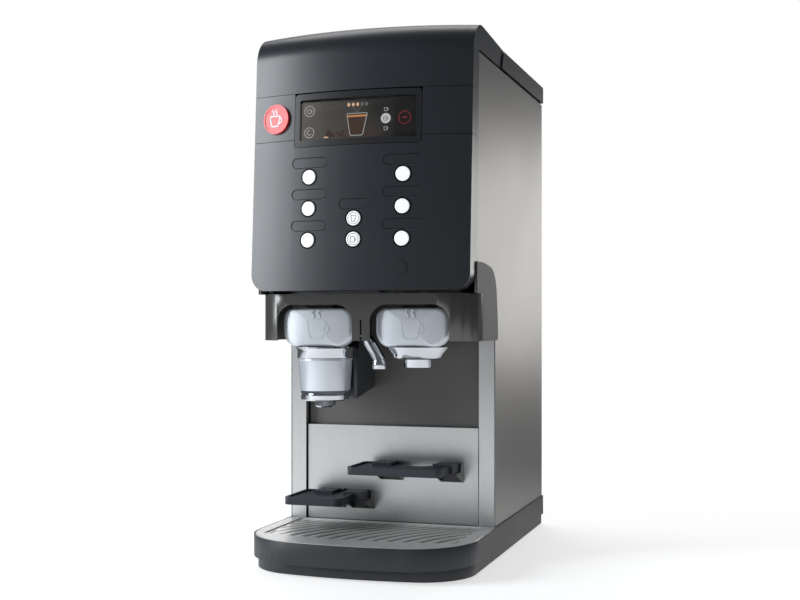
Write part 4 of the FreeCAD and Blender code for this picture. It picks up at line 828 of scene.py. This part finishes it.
def make_grid(finishes):
    """Pressed steel sheet with sweeping grooves that fade out towards its border."""
    low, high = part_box("drip_grid")
    half, back = (high.x - low.x) / 2, high.y
    tray_half, border = 170 * MM, 51.3 * MM
    bow = (tray_half ** 2 + HOOD_CROWN ** 2) / (2 * HOOD_CROWN) - border
    deep = 1.35 * MM
    across, along = 300, 70
    shape = bmesh.new()
    rows = []
    for step in range(along + 1):
        row = []
        for place in range(across + 1):
            x = -half + 2 * half * place / across
            front = low.y + bow - math.sqrt(bow ** 2 - x ** 2)
            y = front + (back - front) * step / along
            run = (y - low.y) / MM
            phase = (x / MM - groove_run(run)) / GROOVE_PITCH
            edge = min(half - abs(x), y - front, back - y)
            fade = max(0.0, min(1.0, (edge - 4 * MM) / (9 * MM)))
            groove = (0.5 + 0.5 * math.cos(math.tau * phase)) ** 2.2
            row.append(shape.verts.new((x, y, high.z - deep * groove * fade * (2 - fade))))
        rows.append(row)
    for near, far in zip(rows, rows[1:]):
        for place in range(across):
            shape.faces.new((near[place], near[place + 1], far[place + 1], far[place]))
    grid = piece("grid_sheet", shape, finishes["steel_grid"], "drip_grid",
                 ["drip_grid"], 60)
    thick = grid.modifiers.new("sheet", "SOLIDIFY")
    thick.thickness = 0.5 * MM
    thick.offset = -1

    slits = bmesh.new()
    for line in range(-9, 10):
        for span in range(3):
            points = []
            for step in range(9):
                run = 26 + span * 44 + step * 3.4
                x = (GROOVE_PITCH * line + groove_run(run)) * MM
                points.append((x, low.y + run * MM))
            front = low.y + bow - math.sqrt(max(0, bow ** 2 - points[0][0] ** 2))
            if all(abs(x) < half - 16 * MM for x, y in points) and points[0][1] > front + 0.014 \
                    and points[-1][1] < back - 0.012:
                stroke(slits, points, 2.2 * MM, high.z - deep - 0.05 * MM,
                       high.z - deep + 0.1 * MM)
    piece("grid_slits", slits, finishes["trim"], "drip_grid")

    notches = bmesh.new()
    for side in (-1, 1):
        for step in range(24):
            y = low.y + (30 + step * 5) * MM
            if y < back - 0.01:
                points = [(side * (half - 3.2 * MM), y), (side * (half - 6.4 * MM), y)]
                stroke(notches, points, 2.6 * MM, high.z - 0.4 * MM, high.z - 0.02 * MM)
    piece("grid_notches", notches, finishes["trim"], "drip_grid")


# ---------------------------------------------------------------- display, badge and keys

def make_display(finishes):
    """The lit picture: a coffee glass, strength beans, cup sizes and a stop key."""
    low, high = -12.25 * MM, -12.08 * MM

    def show(name, shape, finish):
        on_face(shape, 0, DISPLAY_Z)
        piece(name, shape, finishes[finish], "hood")

    def spots(points):
        return scaled(points, MM)

    ground = bmesh.new()
    slab(ground, spots(rounded([(-88, -29.2), (88, -29.2), (88, 29.2), (-88, 29.2)],
                               [2.5] * 4, 4)), low - 0.04 * MM, low)
    show("picture", ground, "picture")
    white, dim, amber, cream, brown, red = (bmesh.new() for _ in range(6))
    for centre, radius in (((-76, 16), 7.6), ((-76, -15.5), 7.3)):
        stroke(white, spots(arc_points(centre, radius, 0, 354, 48)), 0.8 * MM, low, high, True)
    cup_marks(white, 7.5 * MM, 0.7 * MM, low, high, (-76.5 * MM, 16 * MM), False)
    stroke(white, spots(arc_points((-76, -15.5), 3.3, 60, 330, 20)), 0.8 * MM, low, high)
    for index, u in enumerate((-15.1, -8.2, -1.4, 5.5, 12.2)):
        bean = [(u + 2.1 * math.cos(turn * 0.3), 22.6 + 2.7 * math.sin(turn * 0.3))
                for turn in range(21)]
        slab(amber if index < 3 else dim, spots(bean), low, high)
    glass = rounded([(-17.8, 9.6), (-12.3, -22.5), (6.8, -22.5), (13.7, 9.6)], [1, 3, 3, 1], 4)
    stroke(white, spots(glass), 0.7 * MM, low, high, True)
    slab(brown, spots([(-16.2, 4.7), (-11.6, -21), (6.1, -21), (12.1, 4.7)]), low, high)
    slab(cream, spots([(-16.6, 7.0), (-16.1, 4.4), (12.0, 4.4), (12.5, 7.0)]), low,
         high + 0.02 * MM)
    for start, lean in ((-6, 1), (1, -1)):
        curl = [(start + lean * 2.2 * math.sin(step * 0.5), 10.5 + step * 0.75)
                for step in range(12)]
        stroke(dim, spots(curl), 0.6 * MM, low, high)
    for v in (13.5, -14.3):
        cup_marks(white, 6.2 * MM, 0.6 * MM, low, high, (41.8 * MM, v * MM), False)
    slab(white, spots(arc_points((41.8, 0), 7.4, 0, 351, 40)), low, high)
    mark = bmesh.new()
    cup_marks(mark, 6.6 * MM, 0.8 * MM, high, high + 0.03 * MM, (41.2 * MM, 0), False)
    stroke(red, spots(arc_points((70.5, 0), 9, 0, 354, 56)), 0.8 * MM, low, high, True)
    stroke(red, spots([(67, 0), (74, 0)]), 1.5 * MM, low, high)
    slab(amber, spots([(-53, -24.3), (-46, -24.3), (-46, -22.7), (-53, -22.7)]), low, high)
    for _ in range(46):
        u, v = random.uniform(-50, 34), random.uniform(-24, -14)
        if -19 < u < 14:
            continue
        turn, size = random.uniform(0, math.pi), random.uniform(1.5, 2.3)
        bean = [(u + size * (1.35 * math.cos(a) * math.cos(turn) - math.sin(a) * math.sin(turn)),
                 v + size * (1.35 * math.cos(a) * math.sin(turn) + math.sin(a) * math.cos(turn)))
                for a in [math.tau * step / 14 for step in range(14)]]
        if min(point[1] for point in bean) > -26:
            level = low + random.uniform(0, 0.05) * MM
            slab(brown, spots(bean), level, level + 0.06 * MM)
    show("icons_white", white, "glow_white")
    show("icons_dim", dim, "glow_dim")
    show("icons_amber", amber, "glow_amber")
    show("crema", cream, "glow_cream")
    show("coffee", brown, "glow_brown")
    show("stop_key", red, "glow_red")
    show("cup_choice", mark, "trim")


def along_face(shape, x, height):
    """Lay flat work on the curved face: local X and Y run over it, local Z stands out."""
    for vert in shape.verts:
        across, up, out = vert.co
        frame_there = face_frame(x + across, height + up * math.cos(HOOD_LEAN))
        vert.co = frame_there @ Vector((0, 0, out))
    return shape


def make_label_edges(finishes):
    """Painted shade as a fine dark line in the groove round each label window, and a painted
    highlight as a light line inside its lower right.
    """
    keys = [("button_left_top", 57), ("button_left_middle", 57), ("button_left_bottom", 57),
            ("button_right_top", 57), ("button_right_middle", 57), ("button_right_bottom", 57),
            ("button_cup", 46)]
    for name, width in keys:
        key_low, key_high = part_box(name)
        x, height = (key_low.x + key_high.x) / 2, (key_low.z + key_high.z) / 2 + 21 * MM
        reach, bend = (width / 2 - 7.5) * MM, 7.3 * MM
        loop = arc_points((reach, 0), bend, -90, 90, 16) + \
            [(reach - 2 * reach * step / 12, bend) for step in range(1, 12)] + \
            arc_points((-reach, 0), bend, 90, 270, 16) + \
            [(2 * reach * step / 12 - reach, -bend) for step in range(1, 12)]
        # painted shade: a dark line laid in the window's groove
        groove = bmesh.new()
        stroke(groove, loop, 0.95 * MM, -0.5 * MM, 0.02 * MM, closed=True)
        piece(f"window_shade_line_{name}", along_face(groove, x, height), finishes["groove"],
              "hood")
        # painted highlight: a light line inside the window's lower right
        lip_line = [(2 * reach * step / 12 - reach, -bend - 0.8 * MM) for step in range(2, 13)] + \
            arc_points((reach, 0), bend + 0.8 * MM, -85, 60, 14)
        lip = bmesh.new()
        stroke(lip, lip_line, 0.55 * MM, -0.4 * MM, 0.05 * MM)
        piece(f"window_lip_{name}", along_face(lip, x, height), finishes["lip"],
              "hood")


def make_badge_mark(finishes):
    """A plain raised cup on the round badge."""
    low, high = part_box("badge")
    x, height = (low.x + high.x) / 2, (low.z + high.z) / 2
    mark = bmesh.new()
    cup_marks(mark, 20 * MM, 1.9 * MM, 2.9 * MM, 3.55 * MM, (-1 * MM, -1.5 * MM))
    on_face(mark, x, height)
    piece("badge_cup", mark, finishes["badge_mark"], "hood")


def make_key_marks(finishes):
    """Line drawings on the two lower middle keys: a cup and a jug."""
    for name, kind in (("button_cup", "cup"), ("button_jug", "jug")):
        low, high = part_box(name)
        shape = bmesh.new()
        line = (0.85 * MM, 1.12 * MM, 1.3 * MM)
        ring = arc_points((0, 0), 8.2 * MM, 0, 352.5, 47)
        stroke(shape, ring, 0.7 * MM, line[1], line[2], closed=True)
        if kind == "cup":
            body = rounded([(-3.4, 4.4), (-2.5, -4.4), (2.5, -4.4), (3.4, 4.4)],
                           [0.6, 1, 1, 0.6], 4)
            stroke(shape, scaled(body, MM), *line, closed=True)
        else:
            body = rounded([(-3.2, 3.8), (-4.2, -4.2), (3.2, -4.2), (2.2, 3.8)],
                           [0.6, 1, 1, 0.6], 4)
            stroke(shape, scaled(body, MM), *line, closed=True)
            stroke(shape, scaled(arc_points((2.6, -0.2), 2.2, 75, -75, 10), MM), *line)
        on_face(shape, (low.x + high.x) / 2, (low.z + high.z) / 2)
        piece(f"{name}_mark", shape, finishes["key_line"], name)


make_camera()
make_studio()
make_floor()
finishes = make_finishes()
finish_nodes(finishes)
for word in ("left", "right"):
    make_cover(word, finishes)
make_mixing_cup(finishes)
make_outlet_skirts(finishes)
make_corner_strips(finishes)
make_grid(finishes)
make_display(finishes)
make_label_edges(finishes)
make_badge_mark(finishes)
make_key_marks(finishes)
